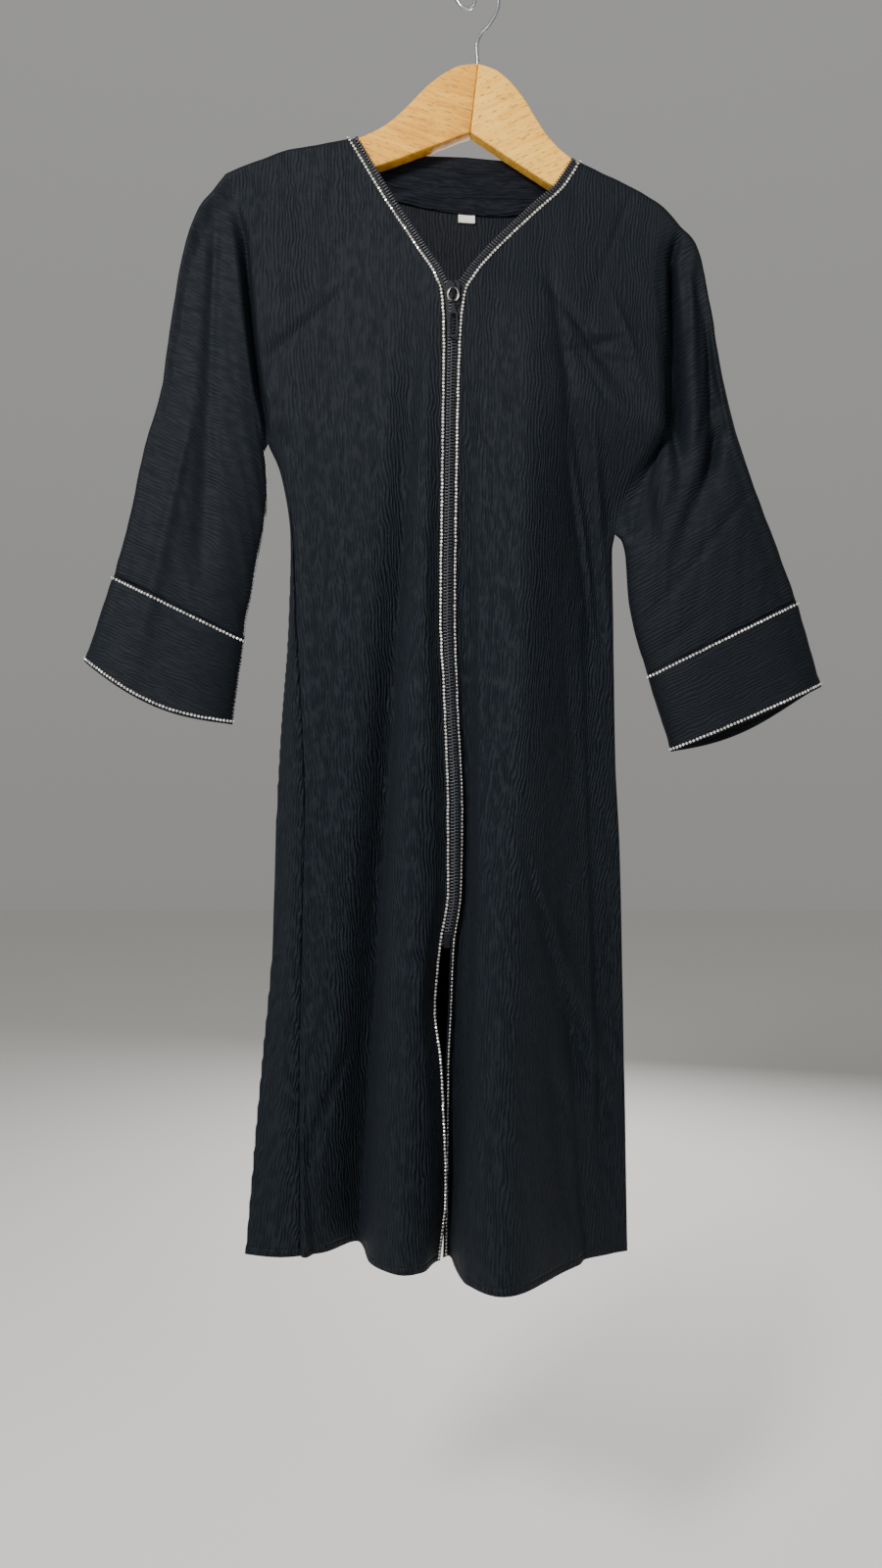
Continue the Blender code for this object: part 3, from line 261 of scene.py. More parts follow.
# The real wrinkles are about 2.5 mm apart, drawn at 2.8 mm so that they show in the whole view.
# The facing's are gathered by its seam and so coarser. Lengths and depths are in metres.
crepe = crepe_finish("crinkle_crepe_black", "141b21", "090d11", apart=0.0028, length=0.012, deep=0.00034)
# The inner shell is painted darker and bluer than the outside: painted shade inside the garment.
inside_crepe = crepe_finish(
    "crinkle_crepe_inside_painted_shade", "0e141b", "07090d", apart=0.0028, length=0.012, deep=0.00030,
)
# The facing is painted darker and bluer too: painted shade inside the neck.
facing_crepe = crepe_finish(
    "crinkle_crepe_facing_painted_shade", "111721", "06080c", apart=0.0034, length=0.024, deep=0.0007,
)
print("cloth finishes:", crepe.name, inside_crepe.name, facing_crepe.name)

# %% [markdown]
# ## Metal, glass, wood, tape and ribbon
#
# The pull ring is nickel plate, the slider, tab and end box are black nickel with a bright plate at their
# edges, which stands for wear and is also a painted highlight where the edges catch light, and the hook is
# zinc-plated wire: each is a metal, so its colour is its reflection. The stones are foil-backed glass, which
# shines like faceted metal; their near-white colour and each stone's own brightness are a painted glint. The
# hanger is beech sealed with a satin lacquer: pale orange-brown, with short dark flecks along the grain.
# The zip tape is a fine weave, the label a satin ribbon. Photographs of each could be laid on,
# but patterns made by nodes stay sharp close to and can be sized in real millimetres.

# %% Metals
def metal_finish(name, bright, dull, roughness, marks_per_metre):
    """Plated metal, with the soft unevenness of its plating."""
    made, tree, shader = finish(name, roughness, 1.0)
    place = put(tree, "ShaderNodeTexCoord").outputs["Object"]
    marks = put(
        tree, "ShaderNodeTexNoise",
        {"Vector": place, "Scale": marks_per_metre, "Detail": 5.0, "Roughness": 0.65},
    ).outputs["Fac"]
    ramp = put(tree, "ShaderNodeValToRGB", {"Fac": marks}, ((0.30, dull), (0.62, bright)))
    dull_and_smooth = {"To Min": roughness * 1.5, "To Max": roughness * 0.8}
    rough = put(
        tree, "ShaderNodeMapRange", {"Value": marks, "From Min": 0.3, "From Max": 0.7, **dull_and_smooth},
    )
    dents = put(tree, "ShaderNodeBump", {"Height": marks, "Strength": 0.12, "Distance": 0.0002})
    tree.links.new(ramp.outputs["Color"], shader.inputs["Base Color"])
    tree.links.new(rough.outputs["Result"], shader.inputs["Roughness"])
    tree.links.new(dents.outputs["Normal"], shader.inputs["Normal"])
    return made


# Marks of a cast and plated part lie about a millimetre apart, those of drawn wire about two.
black_nickel = metal_finish("black_nickel_plate", "3a3b3f", "1f2023", 0.32, 900.0)
# Bright plate for the broken edges: wear, and a painted highlight where they catch light.
worn_and_highlight_nickel = metal_finish("black_nickel_worn_bright", "f0eee9", "c4c2bb", 0.42, 1400.0)
bright_nickel = metal_finish("bright_nickel_plate", "eae7e0", "c2beb6", 0.14, 900.0)
zinc_wire = metal_finish("zinc_plated_wire", "d4d6d8", "9b9ea2", 0.22, 500.0)
stone_cup = metal_finish("stamped_tin_cup", "a89c86", "6d6453", 0.28, 1500.0)
print("metals:", [m.name for m in (black_nickel, worn_and_highlight_nickel, bright_nickel, zinc_wire, stone_cup)])

# %% Stones and zip plastic
def stone_finish():
    """Foil-backed glass, coloured near white as a painted glint of the foil. Each stone's own stored value
    paints it brighter or duller, a painted glint too.
    """
    made, tree, shader = finish("foil_backed_glass_stone", 0.14, 0.4)
    painted_glint = put(tree, "ShaderNodeAttribute", attribute_type="GEOMETRY", attribute_name="painted_glint")
    ramp = put(
        tree, "ShaderNodeValToRGB", {"Fac": painted_glint.outputs["Fac"]},
        ((0.0, "b8b1a6"), (0.5, "efebe3"), (1.0, "ffffff")),
    )
    tree.links.new(ramp.outputs["Color"], shader.inputs["Base Color"])
    shader.inputs["Coat Weight"].default_value = 0.6
    shader.inputs["Coat Roughness"].default_value = 0.03
    return made


def coil_finish():
    """Nylon, smooth from its mould, with scuffs about 1.4 mm apart. Its IOR is that of nylon."""
    made, tree, shader = finish("moulded_nylon_coil", 0.36)
    place = put(tree, "ShaderNodeTexCoord").outputs["Object"]
    scuff = put(tree, "ShaderNodeTexNoise", {"Vector": place, "Scale": 700.0, "Detail": 3.0})
    ramp = put(
        tree, "ShaderNodeValToRGB", {"Fac": scuff.outputs["Fac"]}, ((0.3, "24262a"), (0.7, "3a3e44")),
    )
    tree.links.new(ramp.outputs["Color"], shader.inputs["Base Color"])
    shader.inputs["IOR"].default_value = 1.53
    return made


stone = stone_finish()
nylon = coil_finish()
print("glass and plastic:", stone.name, nylon.name)

# %% Tape and ribbon
# A wave texture at scale 1 repeats every 0.314 units.
WAVE_REPEAT = 0.314


def woven_finish(name, light, dark, roughness, thread):
    """A plain weave on a piece's pattern map; thread is the spacing it is drawn at, in metres."""
    made, tree, shader = finish(name, roughness)
    flat = put(tree, "ShaderNodeUVMap", uv_map="pattern").outputs["UV"]
    waves = {"Vector": flat, "Scale": WAVE_REPEAT / thread, "Distortion": 0.4}
    across = put(tree, "ShaderNodeTexWave", waves, bands_direction="X")
    along = put(tree, "ShaderNodeTexWave", waves, bands_direction="Y")
    both = put(
        tree, "ShaderNodeMath", {0: across.outputs["Fac"], 1: along.outputs["Fac"]}, operation="MULTIPLY",
    )
    ramp = put(tree, "ShaderNodeValToRGB", {"Fac": both.outputs[0]}, ((0.0, dark), (0.8, light)))
    raised = put(tree, "ShaderNodeBump", {"Height": both.outputs[0], "Strength": 0.5, "Distance": 0.0002})
    tree.links.new(ramp.outputs["Color"], shader.inputs["Base Color"])
    tree.links.new(raised.outputs["Normal"], shader.inputs["Normal"])
    return made


# Real threads lie about 0.4 mm apart in the tape and 0.2 mm in the ribbon. Both are drawn
# coarser, so that the weave shows.
tape_weave = woven_finish("polyester_zip_tape", "1b1c1f", "0b0b0d", 0.7, 0.0009)
ribbon_weave = woven_finish("satin_label_ribbon", "f0ede4", "cfcabd", 0.5, 0.0008)
print("woven:", tape_weave.name, ribbon_weave.name)

# %% Beech
# Per metre along the arm, through the board and across the arm.
GRAIN = (22.0, 120.0, 240.0)
FLECKS = (170.0, 900.0, 1100.0)


def beech_finish(name, light, mid, dark, lean):
    """Lacquered beech: grain lines about 4 mm apart along the arm, and 1 by 6 mm flecks."""
    made, tree, shader = finish(name, 0.6)
    place = put(tree, "ShaderNodeTexCoord").outputs["Object"]
    turned = put(tree, "ShaderNodeMapping", {"Vector": place, "Rotation": (0.0, lean, 0.0)}).outputs[0]
    stretched = put(tree, "ShaderNodeMapping", {"Vector": turned, "Scale": GRAIN})
    figure = put(
        tree, "ShaderNodeTexNoise",
        {"Vector": stretched.outputs[0], "Scale": 1.0, "Detail": 4.0, "Distortion": 0.8},
    ).outputs["Fac"]
    fleck_map = put(tree, "ShaderNodeMapping", {"Vector": turned, "Scale": FLECKS})
    flecks = put(tree, "ShaderNodeTexNoise", {"Vector": fleck_map.outputs[0], "Scale": 1.0, "Detail": 1.0})
    dots = put(
        tree, "ShaderNodeMapRange", {"Value": flecks.outputs["Fac"], "From Min": 0.60, "From Max": 0.70},
    )
    cloud = put(tree, "ShaderNodeTexNoise", {"Vector": turned, "Scale": 16.0, "Detail": 2.0})
    tone = put(
        tree, "ShaderNodeMath", {0: cloud.outputs["Fac"], 1: 0.5, 2: figure}, operation="MULTIPLY_ADD",
    )
    ramp = put(
        tree, "ShaderNodeValToRGB", {"Fac": tone.outputs[0]}, ((0.48, dark), (0.72, mid), (0.98, light)),
    )
    flecked = put(
        tree, "ShaderNodeMix",
        {"Factor": dots.outputs["Result"], 6: ramp.outputs["Color"], 7: linear("ad7434")}, data_type="RGBA",
    )
    grain = put(tree, "ShaderNodeBump", {"Height": figure, "Strength": 0.12, "Distance": 0.0003})
    tree.links.new(flecked.outputs[2], shader.inputs["Base Color"])
    tree.links.new(grain.outputs["Normal"], shader.inputs["Normal"])
    shader.inputs["Specular IOR Level"].default_value = 0.3
    shader.inputs["Coat Weight"].default_value = 0.06
    shader.inputs["Coat Roughness"].default_value = 0.4
    return made


# The grain follows each arm's slope. The left arm is painted a little lighter than the right: painted light,
# for the stronger light it catches.
beech_right = beech_finish("lacquered_beech_right", "f6b83c", "e8a32a", "cc8420", -0.32)
beech_left = beech_finish("lacquered_beech_left", "ffcc58", "fcba42", "e2a02e", 0.45)
print("wood:", beech_right.name, beech_left.name)

# %% [markdown]
# ## Where the cloth lies
#
# A garment's form is set by its lines: the zip edges, the line where body passes into sleeve,
# the side seams, the overarm and underarm. Each line is a short table of places, in millimetres
# from the point where the hanger's hook rests on a rail, and a smooth curve is drawn through it.
# A panel is then the surface between two lines, with its folds added as soft ridges and troughs.

# %% Lines of the garment: drop, across, depth (minus is towards the viewer)
HEM_DROP = 1061.0
UNDERARM_EDGE_DROP = 403.0
VEE_DROP = 280.0
ZIP_END_DROP = 808.0
FACE_DEPTH = 9.6
CLOTH = 1.2
# The sewn crepe is drawn a little thinner than the solids' 1.2 mm, and a cuff is two layers.
CREPE_DRAWN = 1.0
CUFF_DRAWN = 1.6
# Where the neck ends on each shoulder, across.
NECK_END = {"right": -104.0, "left": 84.0}
RIGHT_EDGE = (
    (149, -104, 0), (171, -91, -9.6), (198, -75, -11), (246, -45, -17), (268, -32, -21.6),
    (282, -27, -22), (310, -25, -22), (403, -26, -24), (544, -28, -26), (610, -25, -27),
    (700, -22, -27), (763, -22, -27), (808, -29, -26), (857, -33, -26), (900, -28, -25),
    (1003, -24, -20), (1061, -30, -16),
)
LEFT_EDGE = (
    (170, 84, 0), (193, 67, -9.6), (210, 49, -12), (250, 10, -18), (268, -4, -21.6),
    (282, -11.5, -22), (310, -15, -22), (403, -18, -24), (544, -20, -26), (610, -18, -27),
    (700, -14, -27), (763, -15, -27), (808, -21, -26), (857, -23, -25), (900, -25, -21),
    (1003, -26, -14), (1061, -27, -11),
)
RIGHT_ARM = (
    (178, -205, 0), (207, -196, -6), (235, -189, 0), (262, -187, 4), (290, -185, 6),
    (346, -179, 6), (372, -174, 4), (397, -171, 0),
)
LEFT_ARM = (
    (211, 158, 0), (228, 152, -7.5), (246, 146, -9), (270, 144, -11), (301, 148, -12),
    (328, 151, -13), (386, 152, -13), (401, 146, -9), (425, 132, -1), (444, 122, 2), (471, 114, 3),
)
RIGHT_BACK_ARM = (
    (178, -205, 0), (207, -198, 9), (262, -192, 10), (346, -182, 10), (380, -175, 7), (397, -171, 0),
)
LEFT_BACK_ARM = ((211, 158, 0), (246, 150, 10), (340, 142, 12), (430, 127, 13), (458, 117, 10), (471, 114, 3))
RIGHT_SIDE = (
    (397, -171, 0), (427, -158, -3), (476, -150, -6), (549, -147, -8), (633, -142, -10),
    (693, -140, -12), (796, -142, -13), (923, -144, -13), (1061, -144, -8),
)
LEFT_SIDE = (
    (471, 114, 3), (485, 111.5, 3), (528, 112, 2), (658, 114, 2), (741, 118, 2), (846, 120, 2),
    (1061, 124, 2),
)
RIGHT_OUTLINE = (
    (397, -171, 0), (426, -159.5, 3), (474, -153, 6), (547, -155, 6), (632, -161, 4),
    (692, -164, 3), (798, -167, 1), (926, -178, -1), (1061, -189, -4),
)
BACK_DEPTH = ((150, 9.5), (230, 11), (400, 18), (700, 28), (1061, 32))
BACK_NECK = (
    (-103.2, 6.3, 150.1), (-98.5, 9.4, 153.2), (-74, 9.8, 155.5), (-42, 9.8, 156.5), (-9, 9.8, 157.5),
    (24, 9.8, 160.5), (54, 9.8, 165.5), (78.5, 9.4, 171.5), (83.2, 6.3, 170.6),
)

# %% Sleeves and cuffs
# share of the length, overarm across and drop, underarm across and drop, half depth, back's wrap
RIGHT_SLEEVE = (
    (0.00, -205, 178, -171, 397, 9, 0), (0.06, -214, 189, -174.5, 405, 9.4, 0),
    (0.15, -228, 207, -173, 418, 10, 0), (0.30, -240, 244, -172, 441, 11, 0),
    (0.45, -250, 302, -175, 467, 12, 0), (0.60, -258, 355, -180, 492, 13, 0),
    (0.75, -271, 399, -184, 517, 14, 0), (0.90, -284, 459, -189, 541, 15, 0),
    (1.00, -297, 506, -191, 558, 15, 0),
)
LEFT_SLEEVE = (
    (0.00, 158, 211, 114, 471, 9, 0), (0.06, 167, 220.5, 119.5, 477, 9.4, 0.4),
    (0.15, 180, 234, 122.5, 488, 10, 2), (0.30, 192, 279, 124, 505, 12, 6),
    (0.45, 200, 328, 125, 523, 13, 7), (0.60, 212, 380, 128, 541, 14, 7),
    (0.75, 228, 428, 132, 558, 15, 4), (0.90, 247, 484, 138, 577, 16, 1),
    (1.00, 262, 527, 141, 587, 16, 0),
)
# overarm across and drop, underarm across and drop, half depth, sag of the front and back edge
RIGHT_CUFF = (-321, 576, -201, 628, 17, 12, 4)
LEFT_CUFF = (282, 597, 161, 650, 18, 1, 11)

# %% Main folds: across and drop at start and end, half widths, depth at start and end
RIGHT_FOLDS = (
    (-36, 300, -57, 1061, 24, 30, -2, -28), (-46, 300, -99, 1061, 22, 10, 2, 33),
    (-126, 290, -168, 328, 7, 7, 2, 3), (-162, 425, -112, 520, 10, 10, 3, 1),
    (-116, 922, -143, 990, 8, 8, 3, 4),
)
LEFT_FOLDS = (
    (40, 330, 20, 1061, 42, 53, -5, -70), (64, 295, 103, 545, 9, 9, 2, 8),
    (98, 430, 112, 590, 8, 8, -4, -2), (50, 768, 111, 932, 10, 10, -4, -7),
    (40, 750, 74, 885, 8, 8, 3, 4), (132, 432, 119, 455, 10, 10, 6, 3),
    (82, 306, 110, 345, 8, 8, 3, 3), (60, 925, 70, 1000, 12, 12, 5, 5),
)
RIGHT_SLEEVE_FOLDS = ((-214, 250, -222, 470, 9, 9, 3, 4), (-240, 420, -262, 520, 8, 8, -2, -3))
LEFT_SLEEVE_FOLDS = (
    (160, 262, 163, 380, 7, 6, 16, 14), (146, 402, 125, 450, 14, 17, 12, 7),
    (174, 250, 177, 385, 7, 6, -5, -3), (191, 262, 192, 405, 6, 7, 8, 7), (192, 408, 168, 480, 9, 9, 7, 2),
)
BACK_FOLDS = (
    (-22, 330, -36, 1061, 30, 34, 3, 15), (-98, 380, -122, 1061, 24, 22, 2, 10),
    (52, 360, 76, 1061, 28, 24, 2, 13), (14, 430, 20, 1061, 18, 18, -1, -7),
    (-64, 440, -80, 1061, 16, 16, -1, -5), (-150, 250, -104, 430, 12, 12, 3, 4),
    (118, 280, 84, 450, 12, 12, 3, 4),
)
# Folds with a crisp edge. Each follows its line: drop, across, height, reach of face and valley.
RIGHT_CRISP = (
    (
        (330, -49, 1.5, 16, 12), (500, -59, 4, 20, 18), (662, -67, 7, 24, 22),
        (808, -76, 9, 24, 22), (1061, -90, 10, 26, 24),
    ),
    ((940, -141, -2, 12, 12), (1061, -136, -6, 12, 12)),
)
LEFT_CRISP = (
    ((440, -2, 3, 30, 20), (640, -1, 15, 34, 24), (860, -4, 26, 34, 26), (1061, -18, 16, 34, 20)),
    ((560, 86, -2, 20, 14), (930, 96, -7, 20, 14)),
    ((780, 64, -2, 18, 14), (1061, 84, -6, 18, 14)),
    ((395, 74, 2, 12, 9), (480, 86, 8, 14, 10), (560, 96, 3, 14, 10)),
)
BACK_CRISP = (
    ((420, -60, 2, 20, 20), (1061, -66, 8, 20, 20)), ((400, 34, -2, 22, 20), (1061, 42, -8, 22, 20)),
)
# Small creases that only show close to: the same columns
RIGHT_CREASES = (
    (-150, 405, -96, 470, 5, 5, 1.3, 0.5), (-158, 470, -112, 560, 6, 6, 1.1, 0.6),
    (-70, 360, -78, 600, 7, 7, -0.9, 1.2), (-118, 600, -124, 840, 8, 7, 1.2, -1.0),
    (-176, 250, -140, 300, 6, 5, 1.0, 0.5), (-132, 700, -118, 1000, 6, 6, -1.0, 1.4),
    (-90, 210, -120, 250, 7, 6, 0.8, 0.6), (-60, 480, -84, 760, 6, 6, 0.9, 1.3),
)
LEFT_CREASES = (
    (100, 360, 128, 410, 5, 5, 1.5, 0.8), (86, 380, 118, 440, 5, 5, -1.2, -0.9),
    (30, 380, 24, 640, 8, 8, 0.9, 1.4), (72, 600, 92, 820, 7, 7, 1.3, 0.8),
    (0, 560, -4, 900, 7, 7, -0.8, 1.2), (108, 640, 106, 1000, 6, 6, 1.2, 1.6),
    (112, 232, 92, 290, 6, 6, 1.0, 0.5), (72, 329, 94, 323, 4, 5, 1.2, 2.2),
    (90, 313, 120, 314, 6, 6, -1.4, -1.8), (122, 316, 134, 350, 6, 6, -1.8, -0.8),
    (104, 334, 126, 338, 4, 4, 1.2, 0.9),
)
SLEEVE_CREASES = (
    (-262, 330, -196, 372, 5, 5, 1.2, 0.6), (-268, 402, -190, 450, 5, 6, 1.1, 1.3),
    (-286, 470, -200, 520, 6, 5, -1.0, 1.0), (-230, 230, -196, 262, 5, 5, 1.0, 0.4),
    (206, 330, 150, 470, 5, 5, 1.2, 0.8), (230, 430, 150, 530, 6, 5, 1.3, 1.2),
    (246, 490, 160, 560, 5, 6, -1.1, 1.1), (206, 392, 176, 452, 5, 5, 1.4, 0.6),
)
BACK_CREASES = (
    (-170, 420, -60, 520, 6, 6, -1.2, -0.5), (108, 490, 30, 560, 6, 6, -1.2, -0.5),
    (-40, 500, -52, 820, 8, 8, 1.3, -1.0), (40, 540, 50, 900, 8, 8, -1.1, 1.2),
    (-120, 600, -134, 940, 7, 7, 1.2, 1.0), (90, 620, 96, 1000, 7, 7, 1.0, -1.2),
)
print("folds on the fronts:", len(RIGHT_FOLDS + LEFT_FOLDS), "on the back:", len(BACK_FOLDS))
print("small creases:", len(RIGHT_CREASES + LEFT_CREASES + SLEEVE_CREASES + BACK_CREASES))

# %% [markdown]
# ## Surfaces from lines
#
# A table is followed with a monotone cubic curve, which passes through every row without
# swinging past it. Whole grids of points are worked out at once with arrays. A fold is a ridge
# or trough along a straight run, wider towards its end, that fades out past both ends.

# %% Curves, folds and grids
def mix(a, b, share):
    """The value that lies this share of the way from a to b."""
    return a + (b - a) * share


def ease(value):
    """A rise from 0 to 1 that starts and ends softly."""
    value = np.clip(value, 0.0, 1.0)
    return value * value * (3.0 - 2.0 * value)


def follow(table, at):
    """The table's other columns at given values of its first, on the last axis."""
    rows = np.asarray(table, float)
    keys = rows[:, 0]
    at = np.clip(np.asarray(at, float), keys[0], keys[-1])
    span = np.clip(np.searchsorted(keys, at, side="right") - 1, 0, len(keys) - 2)
    rises = np.diff(rows[:, 1:], axis=0) / np.diff(keys)[:, None]
    slopes = np.vstack([rises[:1], np.zeros_like(rises[1:]), rises[-1:]])
    product = rises[:-1] * rises[1:]
    total = np.where(product > 0, rises[:-1] + rises[1:], 1.0)
    slopes[1:-1] = np.where(product > 0, 2 * product / total, 0.0)
    width = (keys[span + 1] - keys[span])[..., None]
    share = ((at - keys[span]) / (keys[span + 1] - keys[span]))[..., None]
    low = rows[span, 1:]
    high = rows[span + 1, 1:]
    bend_in = share * (1 - share) ** 2 * width
    bend_out = -share * share * (1 - share) * width
    return low + (high - low) * ease(share) + slopes[span] * bend_in + slopes[span + 1] * bend_out


def stack(across, depth, up):
    """Points from their three places, each a number or an array."""
    return np.stack(np.broadcast_arrays(across, depth, up), axis=-1).astype(float)


def line(table, drop):
    """Points of one of the garment's lines at the given drops."""
    found = follow(table, drop)
    return stack(found[..., 0], found[..., 1], -np.asarray(drop, float))


def relief(folds, across, drop, fade=34.0):
    """The height of soft folds. Each fades out past its ends over the given length."""
    total = np.zeros(np.broadcast(across, drop).shape)
    for x1, drop1, x2, drop2, minus, plus, depth1, depth2 in folds:
        run = np.array([x2 - x1, drop2 - drop1], float)
        length = np.hypot(*run)
        along = ((across - x1) * run[0] + (drop - drop1) * run[1]) / length ** 2
        held = np.clip(along, 0.0, 1.0)
        off = ((across - x1) * run[1] - (drop - drop1) * run[0]) / length
        width = np.where(off * (1 if run[1] >= 0 else -1) > 0, plus, minus) * mix(0.5, 1.0, held)
        bump = np.exp(-(off / width) ** 2 - ((along - held) * length / fade) ** 2)
        total += mix(depth1, depth2, held) * bump
    return total


# A crisp fold dies away over the first length past its ends; its edge is as wide as the second.
CRISP_FADE, CRISP_EDGE = 30.0, 2.4


def crisp_folds(tables, across, drop):
    """Folds with a sharp edge: the cloth stands out on one side of a line and falls away on the other.

    Each table follows its line down with drop, across, height, and how far the fold's face and
    its valley reach. A height over 0 stands out to the garment's left.
    """
    total = np.zeros(np.broadcast(across, drop).shape)
    for table in tables:
        found = follow(table, drop)
        past = np.maximum(0.0, np.maximum(table[0][0] - drop, drop - table[-1][0]))
        off = across - found[..., 0]
        height = found[..., 1] * np.exp(-(past / CRISP_FADE) ** 2)
        face, valley = found[..., 2], found[..., 3]
        side = np.where(off * height > 0, -np.exp(-(off / face) ** 2), np.exp(-(off / valley) ** 2))
        total += np.abs(height) / 2 * side * ease(np.abs(off) / CRISP_EDGE)
    return total


def window(share, fade=0.12):
    """1 in the middle of a share from 0 to 1, falling to 0 at both ends."""
    return ease(share / fade) * ease((1.0 - share) / fade)


print("zip edge at half the skirt:", np.round(line(RIGHT_EDGE, 700.0), 1).tolist())

# %% Where the cloth rests on the hanger
HANGER_TILT = math.radians(6.5)
HANGER_MIDDLE = (-5.0, -144.6)
HANGER_TOP = (
    (0, 56.5), (14, 53.5), (27, 45.5), (40, 33), (52, 17.5), (64, 3.5), (76, -6.5),
    (90, -14.5), (108, -21), (126, -27), (148, -36), (163, -44), (168, -50),
)
HANGER_UNDER = ((0, 0), (37, -19), (74, -37), (105, -49), (135, -56), (160, -60), (168, -57))
# Room between the wood and the cloth, and the stretch of wood that the cloth follows.
CLEAR_OF_WOOD = 1.6
NECK_REACH = 70
ON_THE_WOOD = (-140, 154)


def tilted(out, height):
    """Across and up, from a distance out along the tilted hanger and a height over its middle."""
    across = HANGER_MIDDLE[0] + out * math.cos(HANGER_TILT) + height * math.sin(HANGER_TILT)
    up = HANGER_MIDDLE[1] - out * math.sin(HANGER_TILT) + height * math.cos(HANGER_TILT)
    return across, up


def shoulder_table():
    rise = CLOTH / 2 + CLEAR_OF_WOOD
    rows = [tilted(out * side, height) for side in (-1, 1) for out, height in HANGER_TOP]
    rows = [
        (x, z + rise) for x, z in rows
        if abs(x - HANGER_MIDDLE[0]) > NECK_REACH and ON_THE_WOOD[0] < x < ON_THE_WOOD[1]
    ]
    # Past the hanger's ends the cloth bridges smoothly to the sleeves.
    rows += [(-150.0, -157.2), (-178.0, -166.8), (-193.0, -172.4)]
    rows += [(RIGHT_ARM[0][1], -RIGHT_ARM[0][0]), (LEFT_ARM[0][1], -LEFT_ARM[0][0])]
    return sorted(row for row in rows if LEFT_ARM[0][1] >= row[0] >= RIGHT_ARM[0][1])


SHOULDER = shoulder_table()


def shoulder_height(across):
    return follow(SHOULDER, across)[..., 0]


neck_height = float(shoulder_height(NECK_END["right"]))
print("shoulder points:", len(SHOULDER), "neck height:", round(neck_height, 1))

# %% [markdown]
# ## The fronts
#
# Rows run from the shoulder (step 0) to the underarm (1) and the hem (2), columns from the zip
# edge out to the side. A plane could be pushed about by hand, but a grid between two known lines
# keeps every seam exactly where it is. The cloth rolls over the top of the hanger, so the first
# rows are drawn on a tight curve from the ridge to the front or back face.

# %% Steps
FRONTS = {
    "right": (RIGHT_EDGE, RIGHT_ARM, RIGHT_SIDE, RIGHT_FOLDS + RIGHT_CREASES, RIGHT_CRISP),
    "left": (LEFT_EDGE, LEFT_ARM, LEFT_SIDE, LEFT_FOLDS + LEFT_CREASES, LEFT_CRISP),
}
FIRST_STEP, SECOND_STEP = 0.1, 0.2
# How far the front's middle column lies from the zip edge on the right front, by step.
RIGHT_MIDDLE = ((0.0, 0.35), (0.5, 0.2), (1.0, 0.27), (2.0, 0.62))
# How far the chest stands out beside the arm line, by step: its edge hangs over the armhole.
OVERHANG = {
    "right": (
        (0.0, 0.0), (0.08, 0.0), (0.2, 7.0), (0.45, 12.0), (0.8, 11.0), (0.93, 8.0),
        (1.0, 3.0), (1.1, 0.0), (2.0, 0.0),
    ),
    "left": ((0.0, 0.0), (0.3, 0.0), (0.5, 3.0), (0.75, 3.0), (0.9, 0.0), (1.1, 0.0), (2.0, 0.0)),
}
# The overhanging edge rises over this width, and the stand dies away over the wider one.
OVERHANG_EDGE, OVERHANG_REACH = 5.5, 75.0


def edge_drop(neck_drop, step):
    upper = mix(neck_drop, VEE_DROP, step / 0.5)
    middle = mix(VEE_DROP, UNDERARM_EDGE_DROP, (step - 0.5) / 0.5)
    lower = mix(UNDERARM_EDGE_DROP, HEM_DROP, step - 1.0)
    return np.where(step <= 0.5, upper, np.where(step <= 1.0, middle, lower))


def outer_drop(arm, step):
    return np.where(step <= 1.0, mix(arm[0][0], arm[-1][0], step), mix(arm[-1][0], HEM_DROP, step - 1.0))


def warp(side, column, step):
    """A column's share of the way from the zip edge to the side, at a step."""
    if side == "left":
        return column + 0 * step
    middle = follow(RIGHT_MIDDLE, step)[..., 0]
    inside = column * middle / 0.5
    return np.where(column < 0.5, inside, middle + (column - 0.5) * (1.0 - middle) / 0.5)


def steps_between(upper_count, lower_count):
    upper = np.linspace(FIRST_STEP, 1.0, upper_count)
    return np.concatenate([upper, np.linspace(1.0, 2.0, lower_count + 1)[1:]])


FRONT_STEPS = steps_between(84, 212)
print("steps down a front:", len(FRONT_STEPS))

# %% One front
def front_surface(side, column, step):
    edge, arm, seam, folds, crisp = FRONTS[side]
    neck = NECK_END[side]
    share = warp(side, column, step)
    inner = line(edge, edge_drop(edge[0][0], step))
    drop = outer_drop(arm, step)
    outer = np.where((step <= 1.0)[..., None], line(arm, drop), line(seam, drop))
    point = inner + (outer - inner) * share[..., None]
    start = shoulder_height(mix(neck, arm[0][1], warp(side, column, step * 0.0)))
    chord = mix(shoulder_height(neck), shoulder_height(arm[0][1]), share)
    point[..., 2] += (start - chord) * np.clip(1.0 - step, 0.0, 1.0) ** 2
    point[..., 1] -= 3.0 * np.sin(np.pi * share) * ease(step)
    point[..., 1] += relief(folds, point[..., 0], -point[..., 2]) * window(share)
    point[..., 1] += crisp_folds(crisp, point[..., 0], -point[..., 2]) * window(share, 0.03)
    off = np.abs(outer[..., 0] - point[..., 0])
    hangs = ease(off / OVERHANG_EDGE) * (1.0 - ease(off / OVERHANG_REACH))
    point[..., 1] -= follow(OVERHANG[side], step)[..., 0] * hangs
    return point


# Two rows between the ridge and the first regular row: share of the depth, distance down.
ROLL = ((0.6, 1.6), (0.92, 5.5))
ROLL_STEPS = np.concatenate([np.linspace(0, 2, 9)[:-1], np.linspace(2, 3, 6)[:-1]])
FLATTENED = (1.0, 0.0, 1.0)


